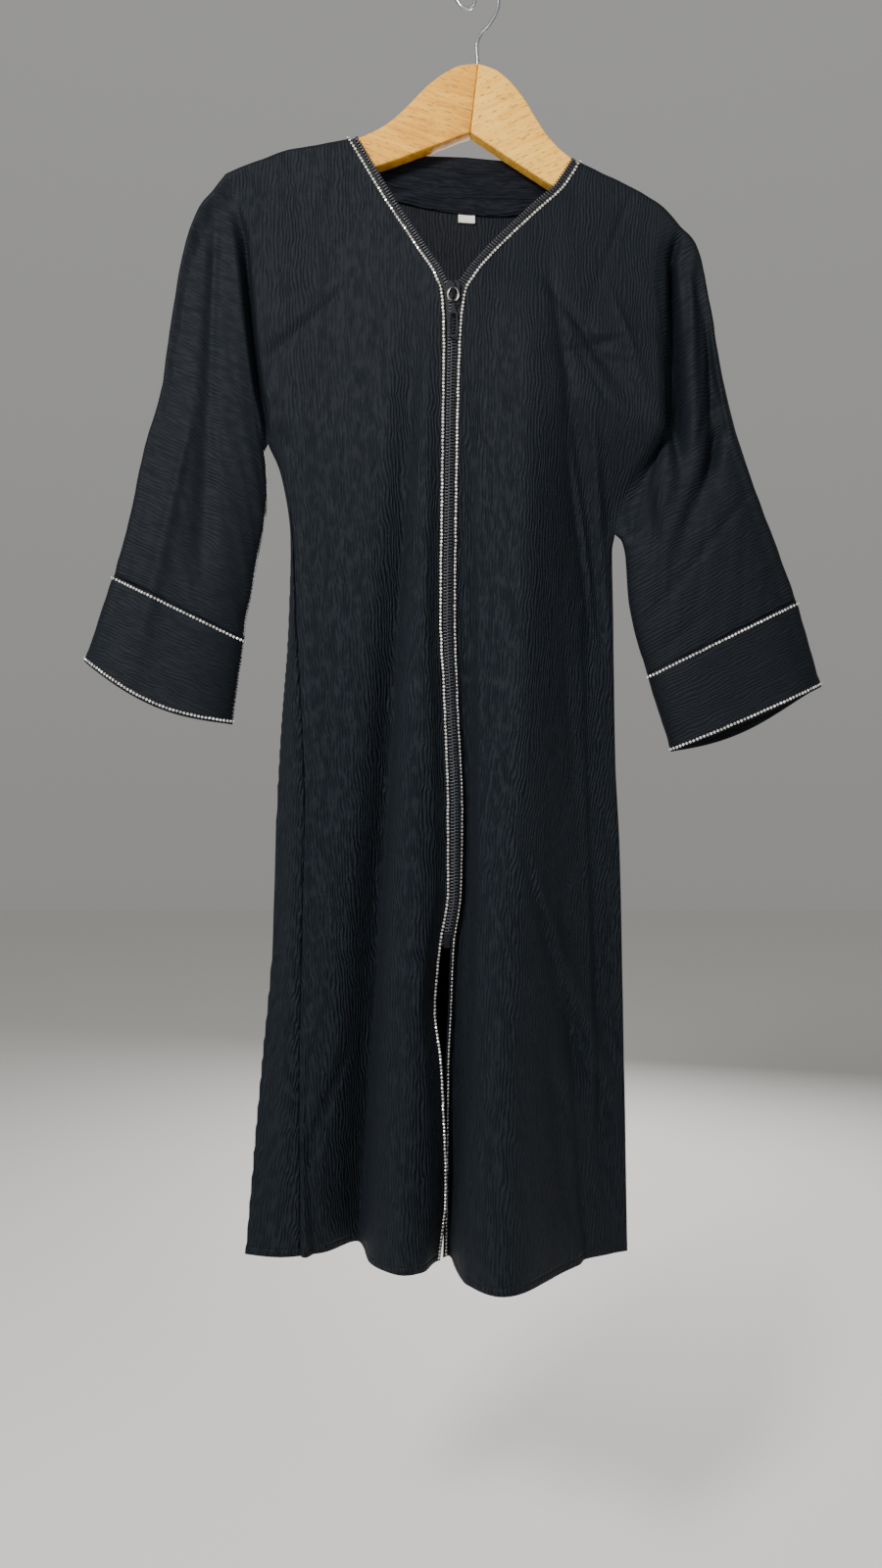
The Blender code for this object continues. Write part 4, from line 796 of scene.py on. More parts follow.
def over_the_top(ridge, first, second, facing, back_off=0.0):
    """Fine rows from the ridge down to the first regular row, facing -1 front or 1 back."""
    way = (first - ridge) * FLATTENED
    way /= np.linalg.norm(way, axis=-1, keepdims=True)
    rows = [ridge]
    for share, distance in ROLL:
        depth = mix(ridge[..., 1], facing * FACE_DEPTH, share)
        row = ridge + way * (distance - np.asarray(back_off) * (1.75 - share))[..., None]
        row = row * FLATTENED
        row[..., 1] = depth
        rows.append(row)
    rows += [first, second]
    flat = np.array(rows).reshape(5, -1)
    table = np.column_stack([np.arange(5.0), flat])
    return follow(table, ROLL_STEPS).reshape(len(ROLL_STEPS), *ridge.shape)


def front_body(side, columns, steps):
    """Points of a front's body: rolled rows, then regular ones."""
    column = columns[None, :]
    regular = front_surface(side, column, steps[:, None])
    arm = FRONTS[side][1]
    across = mix(NECK_END[side], arm[0][1], warp(side, columns, columns * 0.0))
    ridge = stack(across, 0.0, shoulder_height(across))
    second = front_surface(side, column, np.array([[SECOND_STEP]]))[0]
    first = front_surface(side, column, np.array([[FIRST_STEP]]))[0]
    return np.concatenate([over_the_top(ridge, first, second, -1), regular])


front_columns = np.linspace(0.0, 1.0, 88)
fronts = {side: front_body(side, front_columns, FRONT_STEPS) for side in ("right", "left")}
print("front grid:", fronts["right"].shape[:2])

# %% [markdown]
# ## The back
#
# The back hangs from the same shoulders, spans the neck between two sharp turns, and on its
# right side it is pulled round to the front, so that its side seam shows from there. It could be
# a mirror of the fronts, but then it would lack that wrap, so it has lines of its own.

# %% The back's top edge
BACK_WRAP = (0.0, 0.018, 0.04, 0.065, 0.09, 0.115, 0.145, 0.18, 0.215, 0.25, 0.285, 0.32)
SHOULDER_COLUMNS = np.array((0.0, 0.03, 0.08, 0.16, 0.26, 0.37, 0.47, 0.55, 0.64, 0.74, 0.85, 0.94, 1.0))
WRAP_SHARE = 0.15


def back_top():
    """The top edge as rows of across, depth, height and share of the lower width."""
    right_shares = warp("right", SHOULDER_COLUMNS, SHOULDER_COLUMNS * 0.0)
    right = mix(NECK_END["right"], RIGHT_ARM[0][1], right_shares)[::-1]
    left = mix(NECK_END["left"], LEFT_ARM[0][1], SHOULDER_COLUMNS)
    rows = [(x, 0.0, float(shoulder_height(x))) for x in right]
    rows += [(x, y, -drop) for x, y, drop in BACK_NECK]
    rows += [(x, 0.0, float(shoulder_height(x))) for x in left]
    shares = list(BACK_WRAP)
    rest = len(rows) - len(shares)
    shares += [mix(BACK_WRAP[-1], 1.0, (k + 1) / rest) for k in range(rest)]
    return [(*row, share) for row, share in zip(rows, shares)]


def back_columns(spacing):
    """Fine columns between the coarse ones: top points and shares."""
    coarse = np.array(back_top())
    found = [coarse[0]]
    for a, b in zip(coarse, coarse[1:]):
        # Fine where the back folds round to the front, so that its outline is smooth.
        fine = spacing / 3 if b[3] < WRAP_SHARE else spacing
        pieces = max(1, round((b[3] - a[3]) / fine))
        for k in range(1, pieces + 1):
            point = mix(a, b, k / pieces)
            if a[1] == 0.0 and b[1] == 0.0:
                point[2] = float(shoulder_height(point[0]))
            found.append(point)
    return np.array(found)


print("columns of the back:", len(back_columns(0.0105)))

# %% The back's body
# The back turns forward to its side seams over these widths, right and left.
RIGHT_TURN, LEFT_TURN = 17.0, 15.0


def back_below(share, step):
    """The back below the underarm, from the right seam round its outline."""
    right_drop = outer_drop(RIGHT_ARM, step)
    left_drop = outer_drop(LEFT_ARM, step)
    seam, outline = line(RIGHT_SIDE, right_drop), line(RIGHT_OUTLINE, right_drop)
    left = line(LEFT_SIDE, left_drop)
    wrap = np.maximum(0.001, seam[..., 0] - outline[..., 0])
    width = left[..., 0] - outline[..., 0]
    along = share * (wrap + width)
    drop = mix(right_drop, left_drop, share)
    part = np.clip(along / wrap, 0.0, 1.0)
    tucked = mix(seam[..., 1], outline[..., 1], ease(part)) - 4.0 * np.sin(np.pi * part)
    out = along - wrap
    across = outline[..., 0] + out
    inside = window(out / width)
    deep = follow(BACK_DEPTH, drop)[..., 0] + relief(BACK_FOLDS + BACK_CREASES, across, drop) * inside
    deep = deep - crisp_folds(BACK_CRISP, across, drop) * inside
    start = 1.0 - np.clip(1.0 - out / RIGHT_TURN, 0.0, 1.0) ** 2
    end = 1.0 - np.clip(1.0 - (width - out) / LEFT_TURN, 0.0, 1.0) ** 2
    depth = mix(outline[..., 1], deep, np.sqrt(start))
    depth = mix(left[..., 1], depth, np.sqrt(end))
    return np.where(
        (along < wrap)[..., None],
        stack(seam[..., 0] - along, tucked, -drop), stack(across, depth, -drop),
    )


def back_above(top_share, lift, share_below, step):
    """The back above the underarm, between the arm lines."""
    share = mix(top_share, share_below, ease(step))
    right = line(RIGHT_BACK_ARM, outer_drop(RIGHT_BACK_ARM, step))
    left = line(LEFT_BACK_ARM, outer_drop(LEFT_BACK_ARM, step))
    point = right + (left - right) * share[..., None]
    point[..., 2] += lift * (1.0 - step) ** 2
    body = follow(BACK_DEPTH, -point[..., 2])[..., 0]
    body = body + relief(BACK_FOLDS + BACK_CREASES, point[..., 0], -point[..., 2]) * ease(step)
    near_underarm = back_below(share_below, np.ones_like(step))[..., 1]
    aim = mix(body, near_underarm, ease((step - 0.8) / 0.2))
    point[..., 1] = mix(point[..., 1], aim, window(share))
    return point


def back_body(columns, steps):
    ridge = columns[:, :3]
    right, left = ridge[0], ridge[-1]
    top_share = (ridge[:, 0] - right[0]) / (left[0] - right[0])
    lift = ridge[:, 2] - mix(right[2], left[2], top_share)
    below = columns[:, 3]

    def above(values):
        return back_above(top_share[None, :], lift[None, :], below[None, :], values[:, None])

    first, second = above(np.array([FIRST_STEP]))[0], above(np.array([SECOND_STEP]))[0]
    rolled = over_the_top(ridge, first, second, 1)
    # The underarm itself, step 1, belongs to the lower part.
    is_lower = steps >= 0.9999
    lower = back_below(below[None, :], steps[is_lower][:, None])
    return np.concatenate([rolled, above(steps[~is_lower]), lower])


BACK_STEPS = steps_between(70, 160)
back_grid = back_body(back_columns(0.0105), BACK_STEPS)
print("back grid:", back_grid.shape[:2])

# %% [markdown]
# ## Sleeves and cuffs
#
# The sleeves are cut in one with the body, so each grid simply goes on past the arm line. Tubes
# of their own would be easier, but would show an armhole seam that the real cloth doesn't have.
# A sleeve is two halves round a flattened tube. The left one is crushed into a deep valley
# behind the overhanging chest, and its back half wraps over the overarm edge.

# %% Sleeve halves
SLEEVES = {
    "right": (RIGHT_SLEEVE, RIGHT_SLEEVE_FOLDS + SLEEVE_CREASES),
    "left": (LEFT_SLEEVE, LEFT_SLEEVE_FOLDS + SLEEVE_CREASES),
}


def tube_hump(share):
    """The depth of a flattened tube across its width, from 0 through 1 to 0."""
    return np.clip(1.0 - np.abs(2.0 * share - 1.0) ** 3, 0.0, 1.0) ** 0.6


def hold_to_body(side, reaches):
    """How firmly a sleeve still takes the body's depth, 1 at the arm line."""
    if side == "right":
        return 1.0 - ease((reaches - 0.008) / 0.036)
    return np.clip(1.0 - reaches / 0.1, 0.0, 1.0) ** 2


def sleeve_half(side, facing, arm, steps, reaches):
    """Rings of a sleeve half, past the arm line: rows down the ring, columns along the arm."""
    table, folds = SLEEVES[side]
    found = follow(table, reaches)
    over = stack(found[:, 0], 0.0, -found[:, 1])
    under = stack(found[:, 2], 0.0, -found[:, 3])
    half, wrap = found[:, 4], found[:, 5]
    top, bottom = arm[0] * FLATTENED, arm[-1] * FLATTENED
    shares = np.concatenate([[0.0], steps])
    at_arm = np.concatenate([arm[:1], arm[len(ROLL_STEPS):]])
    chord = top + (bottom - top) * shares[:, None]
    stray = (at_arm * FLATTENED - chord)[:, None, :]
    share = shares[:, None]
    near = (np.clip(1.0 - reaches / 0.35, 0.0, 1.0) ** 2)[None, :, None]
    point = over[None] + (under - over)[None] * share[..., None] + stray * near
    depth = facing * half * tube_hump(share)
    if facing < 0:
        inside = ease(share / 0.15) * ease((1.0 - share) / 0.1)
        depth = depth + relief(folds, point[..., 0], -point[..., 2]) * inside
    point[..., 1] = mix(depth, at_arm[:, None, 1], hold_to_body(side, reaches)[None, :])
    first, second = point[1], point[1 + int(np.argmin(abs(steps - SECOND_STEP)))]
    way = (first - point[0]) * FLATTENED
    way /= np.linalg.norm(way, axis=-1, keepdims=True)
    ridge = point[0] * FLATTENED + way * wrap[:, None]
    ridge[:, 1] = -0.8 * wrap
    rolled = over_the_top(ridge, first, second, facing, wrap if facing > 0 else 0.0)
    return np.concatenate([rolled, point[1:]])

# %% Both sleeves, front and back
def arm_line(grid, column, steps):
    """The body's points down one column to the underarm, and the steps they stand at."""
    upper = steps[steps <= 1.0001]
    return grid[:len(ROLL_STEPS) + len(upper), column], upper


REACHES = np.linspace(0.0, 1.0, 116)[1:]
BACK_REACHES = np.linspace(0.0, 1.0, 76)[1:]
sleeves = {}
for side, back_column in (("right", 0), ("left", -1)):
    arm, upper = arm_line(fronts[side], -1, FRONT_STEPS)
    sleeves[side, "front"] = sleeve_half(side, -1, arm, upper, REACHES)
    arm, upper = arm_line(back_grid, back_column, BACK_STEPS)
    sleeves[side, "back"] = sleeve_half(side, 1, arm, upper, BACK_REACHES)
print("sleeve grids:", {key: grid.shape[:2] for key, grid in sleeves.items()})

# %% [markdown]
# ## From grids to cloth
#
# Each panel's grid gets a flat pattern: across the cloth in the map's first value, down its
# length in the second, both in metres. The cloth then gets what only shows close to: a faint
# unevenness from the crinkle, edges that dip where a seam draws them in, and its thickness.
# A cloth simulation could drape it too, but it wouldn't fall into the folds of the real one.

# %% Pattern and unevenness
def spans(grid, axis):
    """Distance travelled along an axis of a grid."""
    lengths = np.linalg.norm(np.diff(grid, axis=axis), axis=-1)
    start = np.zeros_like(np.take(lengths, [0], axis=axis))
    return np.cumsum(np.concatenate([start, lengths], axis=axis), axis=axis)


def unit(ways):
    """The same directions, each one long."""
    return ways / np.maximum(np.linalg.norm(ways, axis=-1, keepdims=True), 1e-9)


def facings(grid):
    """Unit normals of a grid of points."""
    return unit(np.cross(np.gradient(grid, axis=0), np.gradient(grid, axis=1)))


def to_viewer(normal):
    """The same normals, each turned to the front."""
    return normal * np.where(normal[..., 1:2] > 0, -1.0, 1.0)


def uneven(pattern, seed, amount):
    """A soft unevenness, longer down the cloth than across it."""
    flat = pattern.reshape(-1, 2)
    values = [
        noise.noise((u / 21.0 + seed, v / 52.0, seed)) + 0.5 * noise.noise((u / 11.0, v / 30.0 + seed, 3.0))
        for u, v in flat
    ]
    return np.array(values).reshape(pattern.shape[:2]) * amount


def near_edge(count, width=1.0):
    """Weights that are 1 at a row's or column's first point and fade over the next."""
    return np.exp(-(np.arange(count) / width) ** 2)


print("left zip edge from shoulder to hem, mm:", round(float(spans(fronts["left"], 0)[-1, 0])))

# %% Faces, maps and thickness
FRONT_WAY, BACK_WAY = (0.0, -1.0, 0.0), (0.0, 1.0, 0.0)


def numbered(grid):
    """The points of a grid, counted row by row."""
    return np.arange(grid.shape[0] * grid.shape[1]).reshape(grid.shape[:2])


def weave_faces(numbers):
    """Quads between the points of a grid, from the table of their numbers."""
    a, b, c, d = numbers[:-1, :-1], numbers[1:, :-1], numbers[1:, 1:], numbers[:-1, 1:]
    return np.stack([a, b, c, d], axis=-1).reshape(-1, 4)


def cloth_piece(name, points, faces, outward, material, thickness):
    """A cloth object whose faces look the outward way: one way for all, or one for each point."""
    probe = faces[:: max(1, len(faces) // 400)]
    p = points[probe]
    facing = np.cross(p[:, 1] - p[:, 0], p[:, 2] - p[:, 0])
    if (facing * np.broadcast_to(outward, points.shape)[probe[:, 0]]).sum() < 0:
        faces = faces[:, ::-1]
    made = solid(name, points, faces.tolist(), material)
    thick = made.modifiers.new("thickness", "SOLIDIFY")
    thick.thickness = thickness * MM
    thick.offset = 0.0
    # The inner shell takes the darker crepe, painted shade inside the garment.
    if material == crepe:
        made.data.materials.append(inside_crepe)
        thick.material_offset = 1
    return made


def flat_size(pattern):
    """Width and length of a flat pattern in metres."""
    return (np.ptp(pattern.reshape(-1, 2), axis=0) * MM).tolist()


def cut_area(points, faces):
    """Flat area of a cloth in square metres."""
    p = points[faces] * MM
    one = np.cross(p[:, 1] - p[:, 0], p[:, 2] - p[:, 0])
    two = np.cross(p[:, 2] - p[:, 0], p[:, 3] - p[:, 0])
    return float((np.linalg.norm(one, axis=1) + np.linalg.norm(two, axis=1)).sum() / 2)


print("faces of a front's grid:", len(weave_faces(numbered(fronts["left"]))))

# %% Where the crinkle turns
# Which way the crinkle runs on each sleeve, down from the level, as it does beside the cuffs.
ROUND_ARM = {"right": math.radians(-27), "left": math.radians(29)}
# The turn begins this many columns inside the arm line.
TURN_COLUMNS = 14


def round_arm(points, side):
    """The flat map whose crinkle runs round the arm."""
    way = ROUND_ARM[side]
    along = points[..., 0] * math.cos(way) + points[..., 2] * math.sin(way)
    out = points[..., 0] * math.sin(way) - points[..., 2] * math.cos(way)
    return np.stack([out, along + points[..., 1]], axis=-1)


def turn_to_arm(upper, shared, sides):
    """How far the crinkle has turned at each point, and the map that it has turned to."""
    turned = np.zeros(upper.shape[:2])
    arm_map = np.zeros((*upper.shape[:2], 2))
    # The turn is sharp in the armhole's valley and slow over the shoulder.
    slow = mix(26.0, 9.0, ease(np.linspace(0.0, 3.0, len(upper))))[:, None]
    for side in sides:
        if side == "right":
            columns, arm, out = slice(0, shared.start + TURN_COLUMNS), shared.start, -1.0
        else:
            columns, arm, out = slice(shared.stop - TURN_COLUMNS, None), shared.stop - 1, 1.0
        arm_map[:, columns] = round_arm(upper[:, columns], side)
        past = (upper[:, columns, 0] - upper[:, arm:arm + 1, 0]) * out
        turned[:, columns] = ease((past + slow * 0.6) / slow)
    return turned, arm_map


print("crinkle on the sleeves, degrees:", {side: round(math.degrees(way)) for side, way in ROUND_ARM.items()})

# %% One cut panel
# Over this many rows on both sides of the underarm the unevenness fades, so that the parts meet.
UNDERARM_BLEND = 12
FAR_FROM_HEM = 999.0


def join_sleeves(body, arms):
    """The rows above the underarm with their sleeves, the rows below, and the body's columns."""
    rows = len(next(iter(arms.values())))
    parts = [body[:rows]]
    lead = 0
    if "right" in arms:
        parts.insert(0, arms["right"][:, ::-1])
        lead = arms["right"].shape[1]
    if "left" in arms:
        parts.append(arms["left"])
    return np.concatenate(parts, axis=1), body[rows - 1:], slice(lead, lead + body.shape[1])


def flat_map(grid, column):
    """A grid's flat pattern, in which one column keeps its own place across."""
    across = spans(grid, 1)
    across += grid[:, column:column + 1, 0] - across[:, column:column + 1]
    return np.stack([across, spans(grid, 0)], axis=-1)


def stand_off(grid, pattern, seed, amount, outward, seams):
    """How far the unevenness and the seams move each point, and the way it moves."""
    normal = facings(grid)
    lift = uneven(pattern, seed, amount)
    fade = near_edge(grid.shape[1], 1.5)
    for end, dip in seams.items():
        lift = lift - (fade if end == "first" else fade[::-1])[None, :] * dip
    return lift, normal * np.sign((normal @ np.array(outward)).mean())


def one_list(above, below):
    """The points of both parts, without the underarm row that they share."""
    return np.concatenate([above.reshape(-1, *above.shape[2:]), below[1:].reshape(-1, *below.shape[2:])])


def panel(name, body, arms, reference, seed, amount, outward, seams):
    """One cut panel: its body and the sleeve grids beside it, joined on their arm columns."""
    upper, lower, shared = join_sleeves(body, arms)
    pattern_up = flat_map(upper, shared.start + reference)
    pattern_low = flat_map(lower, reference)
    pattern_low[..., 1] += pattern_up[-1:, shared, 1]
    lift_up, way_up = stand_off(upper, pattern_up, seed, amount, outward, seams)
    lift_low, way_low = stand_off(lower, pattern_low, seed, amount, outward, seams)
    share = np.linspace(0.0, 1.0, UNDERARM_BLEND)[:, None]
    lift_up[-UNDERARM_BLEND:, shared] *= 1 - share
    lift_low[:UNDERARM_BLEND] *= share
    points = one_list(upper + way_up * lift_up[..., None], lower + way_low * lift_low[..., None])
    pattern = one_list(pattern_up, pattern_low)
    numbers_up = numbered(upper)
    numbers_low = np.vstack([numbers_up[-1:, shared], numbers_up.size + numbered(lower[1:])])
    faces = np.concatenate([weave_faces(numbers_up), weave_faces(numbers_low)])
    piece = cloth_piece(name, points, faces, outward, crepe, CREPE_DRAWN)
    corners = corner_points(piece)
    store_map(piece, "pattern", pattern[corners])
    down = pattern_low[..., 1]
    hem = one_list(np.full(upper.shape[:2], FAR_FROM_HEM), down[-1:] - down)
    store_values(piece, "hem", hem * MM)
    turned, arm_map = turn_to_arm(upper, shared, arms)
    store_values(piece, "turned", one_list(turned, np.zeros(lower.shape[:2])))
    store_map(piece, "round_arm", one_list(arm_map, np.zeros((*lower.shape[:2], 2)))[corners])
    size, area = flat_size(pattern), cut_area(points, faces)
    print(name, len(points), "points, flat m:", np.round(size, 3).tolist(), "area m2:", round(area, 3))
    return piece, size, area

# %% Cut the two fronts and the back
# The reference column keeps its place across in the pattern. A seam draws in the first or last
# column of its panel by so many millimetres, and the amount is that of the unevenness.
front_right, size_right, area_right = panel(
    "crepe_front_right", fronts["right"][:, ::-1], {"right": sleeves["right", "front"]},
    reference=len(front_columns) - 1, seed=1.7, amount=0.55, outward=FRONT_WAY, seams={"first": 0.7},
)
front_left, size_left, area_left = panel(
    "crepe_front_left", fronts["left"], {"left": sleeves["left", "front"]},
    reference=0, seed=5.3, amount=0.55, outward=FRONT_WAY, seams={"last": 0.6},
)
back_piece, size_back, area_back = panel(
    "crepe_back", back_grid, {"right": sleeves["right", "back"], "left": sleeves["left", "back"]},
    reference=back_grid.shape[1] // 2, seed=9.1, amount=0.25, outward=BACK_WAY, seams={},
)
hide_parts("front_right_chest", "front_right_skirt", "front_right_sleeve")
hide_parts("front_left_chest", "front_left_skirt", "front_left_sleeve")
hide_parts("back_chest", "back_skirt", "back_sleeve_right", "back_sleeve_left")

# %% Cuff bands
def cuff_grid(side, rows):
    """A band from the sleeve's end to its own edge, as rings whose last point is their first."""
    table = RIGHT_CUFF if side == "right" else LEFT_CUFF
    over_x, over_drop, under_x, under_drop, half, front_sag, back_sag = table
    front = sleeves[side, "front"][:, -1]
    back = sleeves[side, "back"][:, -1]
    ring = np.concatenate([front, back[-2:0:-1]])
    facing = np.concatenate([-np.ones(len(front)), np.ones(len(back) - 2)])
    start, end = front[0], front[-1]
    share = np.clip((ring - start) @ (end - start) / ((end - start) @ (end - start)), 0.0, 1.0)
    over = np.array([over_x, 0.0, -over_drop])
    under = np.array([under_x, 0.0, -under_drop])
    edge = over + (under - over) * share[:, None]
    edge[:, 2] -= np.where(facing < 0, front_sag, back_sag) * np.sin(np.pi * share)
    edge[:, 1] = facing * half * tube_hump(share)
    steps = np.linspace(0.0, 1.0, rows)[:, None, None]
    grid = ring + (edge - ring) * steps
    return np.concatenate([grid, grid[:, :1]], axis=1)


def cuff_lift(grid, pattern, seed):
    """Unevenness, the dip of the seam at the first ring and the stand of the turned edge."""
    lift = uneven(pattern, seed, 0.6)
    lift[:, -1] = lift[:, 0]
    lift -= 0.7 * near_edge(len(grid), 1.2)[:, None]
    down_band = np.arange(len(grid)) / (len(grid) - 1)
    return lift + 0.35 * ease((down_band - 0.86) / 0.05)[:, None]


def closed_map(pattern, corners, around):
    """The map at each face corner. Faces that close the ring run on past its full length."""
    flat = pattern[:, :-1].reshape(-1, 2)[corners].reshape(-1, 4, 2)
    crossing = np.ptp(flat[..., 1], axis=1) > 50.0
    low = (flat[..., 1] < 50.0) & crossing[:, None]
    flat[..., 1] = np.where(low, flat[..., 1] + around, flat[..., 1])
    return flat


def make_cuff(side, seed):
    grid = cuff_grid(side, 32)
    around, down = spans(grid, 1), spans(grid, 0)
    # The band is cut with its crinkle running round the arm.
    pattern = np.stack([down, around], axis=-1)
    normal = facings(grid)
    middle = grid.mean(axis=1, keepdims=True)
    normal *= np.sign(((grid - middle) * normal).sum(axis=-1).mean())
    lift = cuff_lift(grid, pattern, seed)
    points = (grid + normal * lift[..., None])[:, :-1].reshape(-1, 3)
    numbers = numbered(grid[:, :-1])
    faces = weave_faces(np.hstack([numbers, numbers[:, :1]]))
    outward = normal[:, :-1].reshape(-1, 3)
    piece = cloth_piece("crepe_cuff_" + side, points, faces, outward, crepe, CUFF_DRAWN)
    length = float(around[:, -1].mean())
    store_map(piece, "pattern", closed_map(pattern, corner_points(piece), length))
    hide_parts("cuff_" + side)
    size, area = (float(down[-1].mean()) * MM, length * MM), cut_area(points, faces)
    print(piece.name, "flat m:", np.round(size, 3).tolist(), "area m2:", round(area, 4))
    return piece, grid, normal, size, area


cuffs = {side: make_cuff(side, seed) for side, seed in (("right", 12.2), ("left", 15.9))}

# %% [markdown]
# ## The zip
#
# A zip that opens at its end. Below the slider its two rows of teeth meet; above it the halves
# part and run up both sides of the neck, so that their teeth show against the cloth. Each tape
# is a narrow woven strip sewn behind the front's folded edge, and each tooth is one turn of a
# nylon coil, 2.5 mm from the next. One tooth is modelled and then repeated along the tape's
# edge, which keeps all of them alike and costs one short table.

# %% Zip edges
def offset_line(grid, distance):
    """Points and normals of a front at a distance in from its zip edge."""
    inside = grid[:, :12]
    travelled = spans(inside, 1)
    normal = to_viewer(facings(inside))

    def sampled(values):
        return np.array([
            [np.interp(distance, t, row[:, k]) for k in range(3)] for t, row in zip(travelled, values)
        ])

    return sampled(inside), unit(sampled(normal))


def even_marks(points, ways, pitch, start=0.0):
    """Places, normals and directions at even distances along a line."""
    travelled = np.concatenate([[0.0], np.cumsum(np.linalg.norm(np.diff(points, axis=0), axis=1))])
    marks = np.arange(start, travelled[-1], pitch)
    places = np.stack([np.interp(marks, travelled, points[:, k]) for k in range(3)], axis=1)
    facing = np.stack([np.interp(marks, travelled, ways[:, k]) for k in range(3)], axis=1)
    along = unit(np.gradient(places, axis=0))
    return places, square_to(along, facing), along


def square_to(along, ways):
    """Ways turned square to a line's direction."""
    return unit(ways - along * (ways * along).sum(axis=1, keepdims=True))


edge_points, _ = offset_line(fronts["right"], 0.0)
print("right zip edge from", np.round(edge_points[0]).tolist(), "to", np.round(edge_points[-1]).tolist())

# %% Small parts in rows
def ring_faces(rings, sides):
    """Faces between the rings of a small turned shape, whose points are counted ring by ring."""
    return [
        [r * sides + i, r * sides + (i + 1) % sides, (r + 1) * sides + (i + 1) % sides, (r + 1) * sides + i]
        for r in range(rings - 1) for i in range(sides)
    ]


def row_of(name, shape, places, ups, alongs, material, across=None, smooth=False):
    """Copies of a small shape: its x goes across, its y along and its z up from the cloth."""
    points, faces = shape
    across = np.cross(alongs, ups) if across is None else across
    turned = (
        points[None, :, 0:1] * across[:, None, :] + points[None, :, 1:2] * alongs[:, None, :]
        + points[None, :, 2:3] * ups[:, None, :]
    )
    every = [[k + i * len(points) for k in face] for i in range(len(places)) for face in faces]
    return solid(name, (turned + places[:, None, :]).reshape(-1, 3), every, material, smooth)


def tooth_shape():
    """One turn of the coil: a rounded rod across the tape, thicker at its head."""
    rings = ((-3.2, 0.3), (-2.8, 0.58), (-0.6, 0.62), (0.3, 0.8), (1.0, 0.5))
    sides = 7
    turns = [2 * math.pi * i / sides for i in range(sides)]
    points = [
        (x, radius * math.sin(turn), radius * 0.9 * math.cos(turn)) for x, radius in rings for turn in turns
    ]
    last = (len(rings) - 1) * sides
    ends = [list(reversed(range(sides))), [last + i for i in range(sides)]]
    return np.array(points), ring_faces(len(rings), sides) + ends


TOOTH = tooth_shape()
print("points in a tooth:", len(TOOTH[0]), "faces:", len(TOOTH[1]))

# %% Tapes
TAPE_BEHIND = CLOTH / 2 + 0.9
TAPE_SEWN = 9.0
TAPE_SHOWN = 5.0
HALF_GAP = 0.25
# The halves part over this stretch of the drop, just above the slider.
PARTED_DROP, PARTING = 288.0, 18.0


def tape_grid(side):
    """One tape: from its toothed edge to its sewn edge, with the line of its teeth."""
    grid, other = fronts[side], fronts["left" if side == "right" else "right"]
    edge, way = offset_line(grid, 0.0)
    hidden, hidden_way = offset_line(grid, TAPE_SEWN)
    partner, _ = offset_line(other, 0.0)
    drop = -edge[:, 2]
    apart = ease((PARTED_DROP - drop) / PARTING)[:, None]
    shown = edge + (edge - hidden) / np.linalg.norm(edge - hidden, axis=1, keepdims=True) * TAPE_SHOWN
    shut = (edge + partner) / 2 + np.array([HALF_GAP if side == "left" else -HALF_GAP, 0.0, 0.0])
    free = shut + (shown - shut) * apart
    free[:, 1] = edge[:, 1] + 0.3 * apart[:, 0]
    keep = (drop < ZIP_END_DROP) & (np.arange(len(drop)) > 2)
    rows = np.stack([
        free + np.array([0.0, TAPE_BEHIND, 0.0]), edge - way * TAPE_BEHIND, hidden - hidden_way * TAPE_BEHIND,
    ], axis=1)[keep]
    return rows, free[keep], way[keep]


def small_cloth(name, node, grid, pattern, material, thickness):
    """A narrow cloth that faces the viewer, with its flat size and area."""
    points, faces = grid.reshape(-1, 3), weave_faces(numbered(grid))
    piece = cloth_piece(name, points, faces, FRONT_WAY, material, thickness)
    store_map(piece, "pattern", pattern.reshape(-1, 2)[corner_points(piece)])
    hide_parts(node)
    return piece, flat_size(pattern), cut_area(points, faces)


def make_tape(side):
    rows, teeth_line, ways = tape_grid(side)
    free, edge, sewn = rows[:, 0], rows[:, 1], rows[:, 2]
    fine = [mix(free, edge, k / 3) for k in range(4)] + [mix(edge, sewn, k / 3) for k in (1, 2, 3)]
    grid = np.array(fine).transpose(1, 0, 2)
    pattern = np.stack([spans(grid, 1), spans(grid, 0)], axis=-1)
    piece, size, area = small_cloth(
        "zip_tape_strip_" + side, "zip_tape_" + side, grid, pattern, tape_weave, 0.7,
    )
    return teeth_line, ways

# %% Teeth
TOOTH_PITCH = 2.5
# The left row starts half a pitch later, so that its teeth lie between the right one's.
for side, first, towards in (("right", 1.0, 1.0), ("left", 1.0 + TOOTH_PITCH / 2, -1.0)):
    teeth_line, ways = make_tape(side)
    places, ups, alongs = even_marks(teeth_line, ways, TOOTH_PITCH, first)
    ups = square_to(alongs, np.tile(np.array(FRONT_WAY), (len(places), 1)))
    across = np.cross(alongs, ups)
    across = across * np.sign(across[:, 0:1]) * towards
    teeth = row_of("zip_teeth_" + side, TOOTH, places + ups * 0.3, ups, alongs, nylon, across, smooth=True)
    print(teeth.name, "teeth:", len(places))

# %% [markdown]
# ## Chains of glass stones
#
# Each stone sits in a stamped metal cup, and small links join the cups 2.9 mm apart. The chain is sewn down
# beside both zip edges from the neck to the hem, on the seam of each cuff and on its edge. A stone is a low
# eight-sided cut glass with a flat top. A bumpy ribbon would do from far off, but each flat top throws its
# own glint, so each stone is a small mesh. No two catch the light alike, so each leans a little its own way,
# and each has its own brightness painted into its colour as a painted glint.

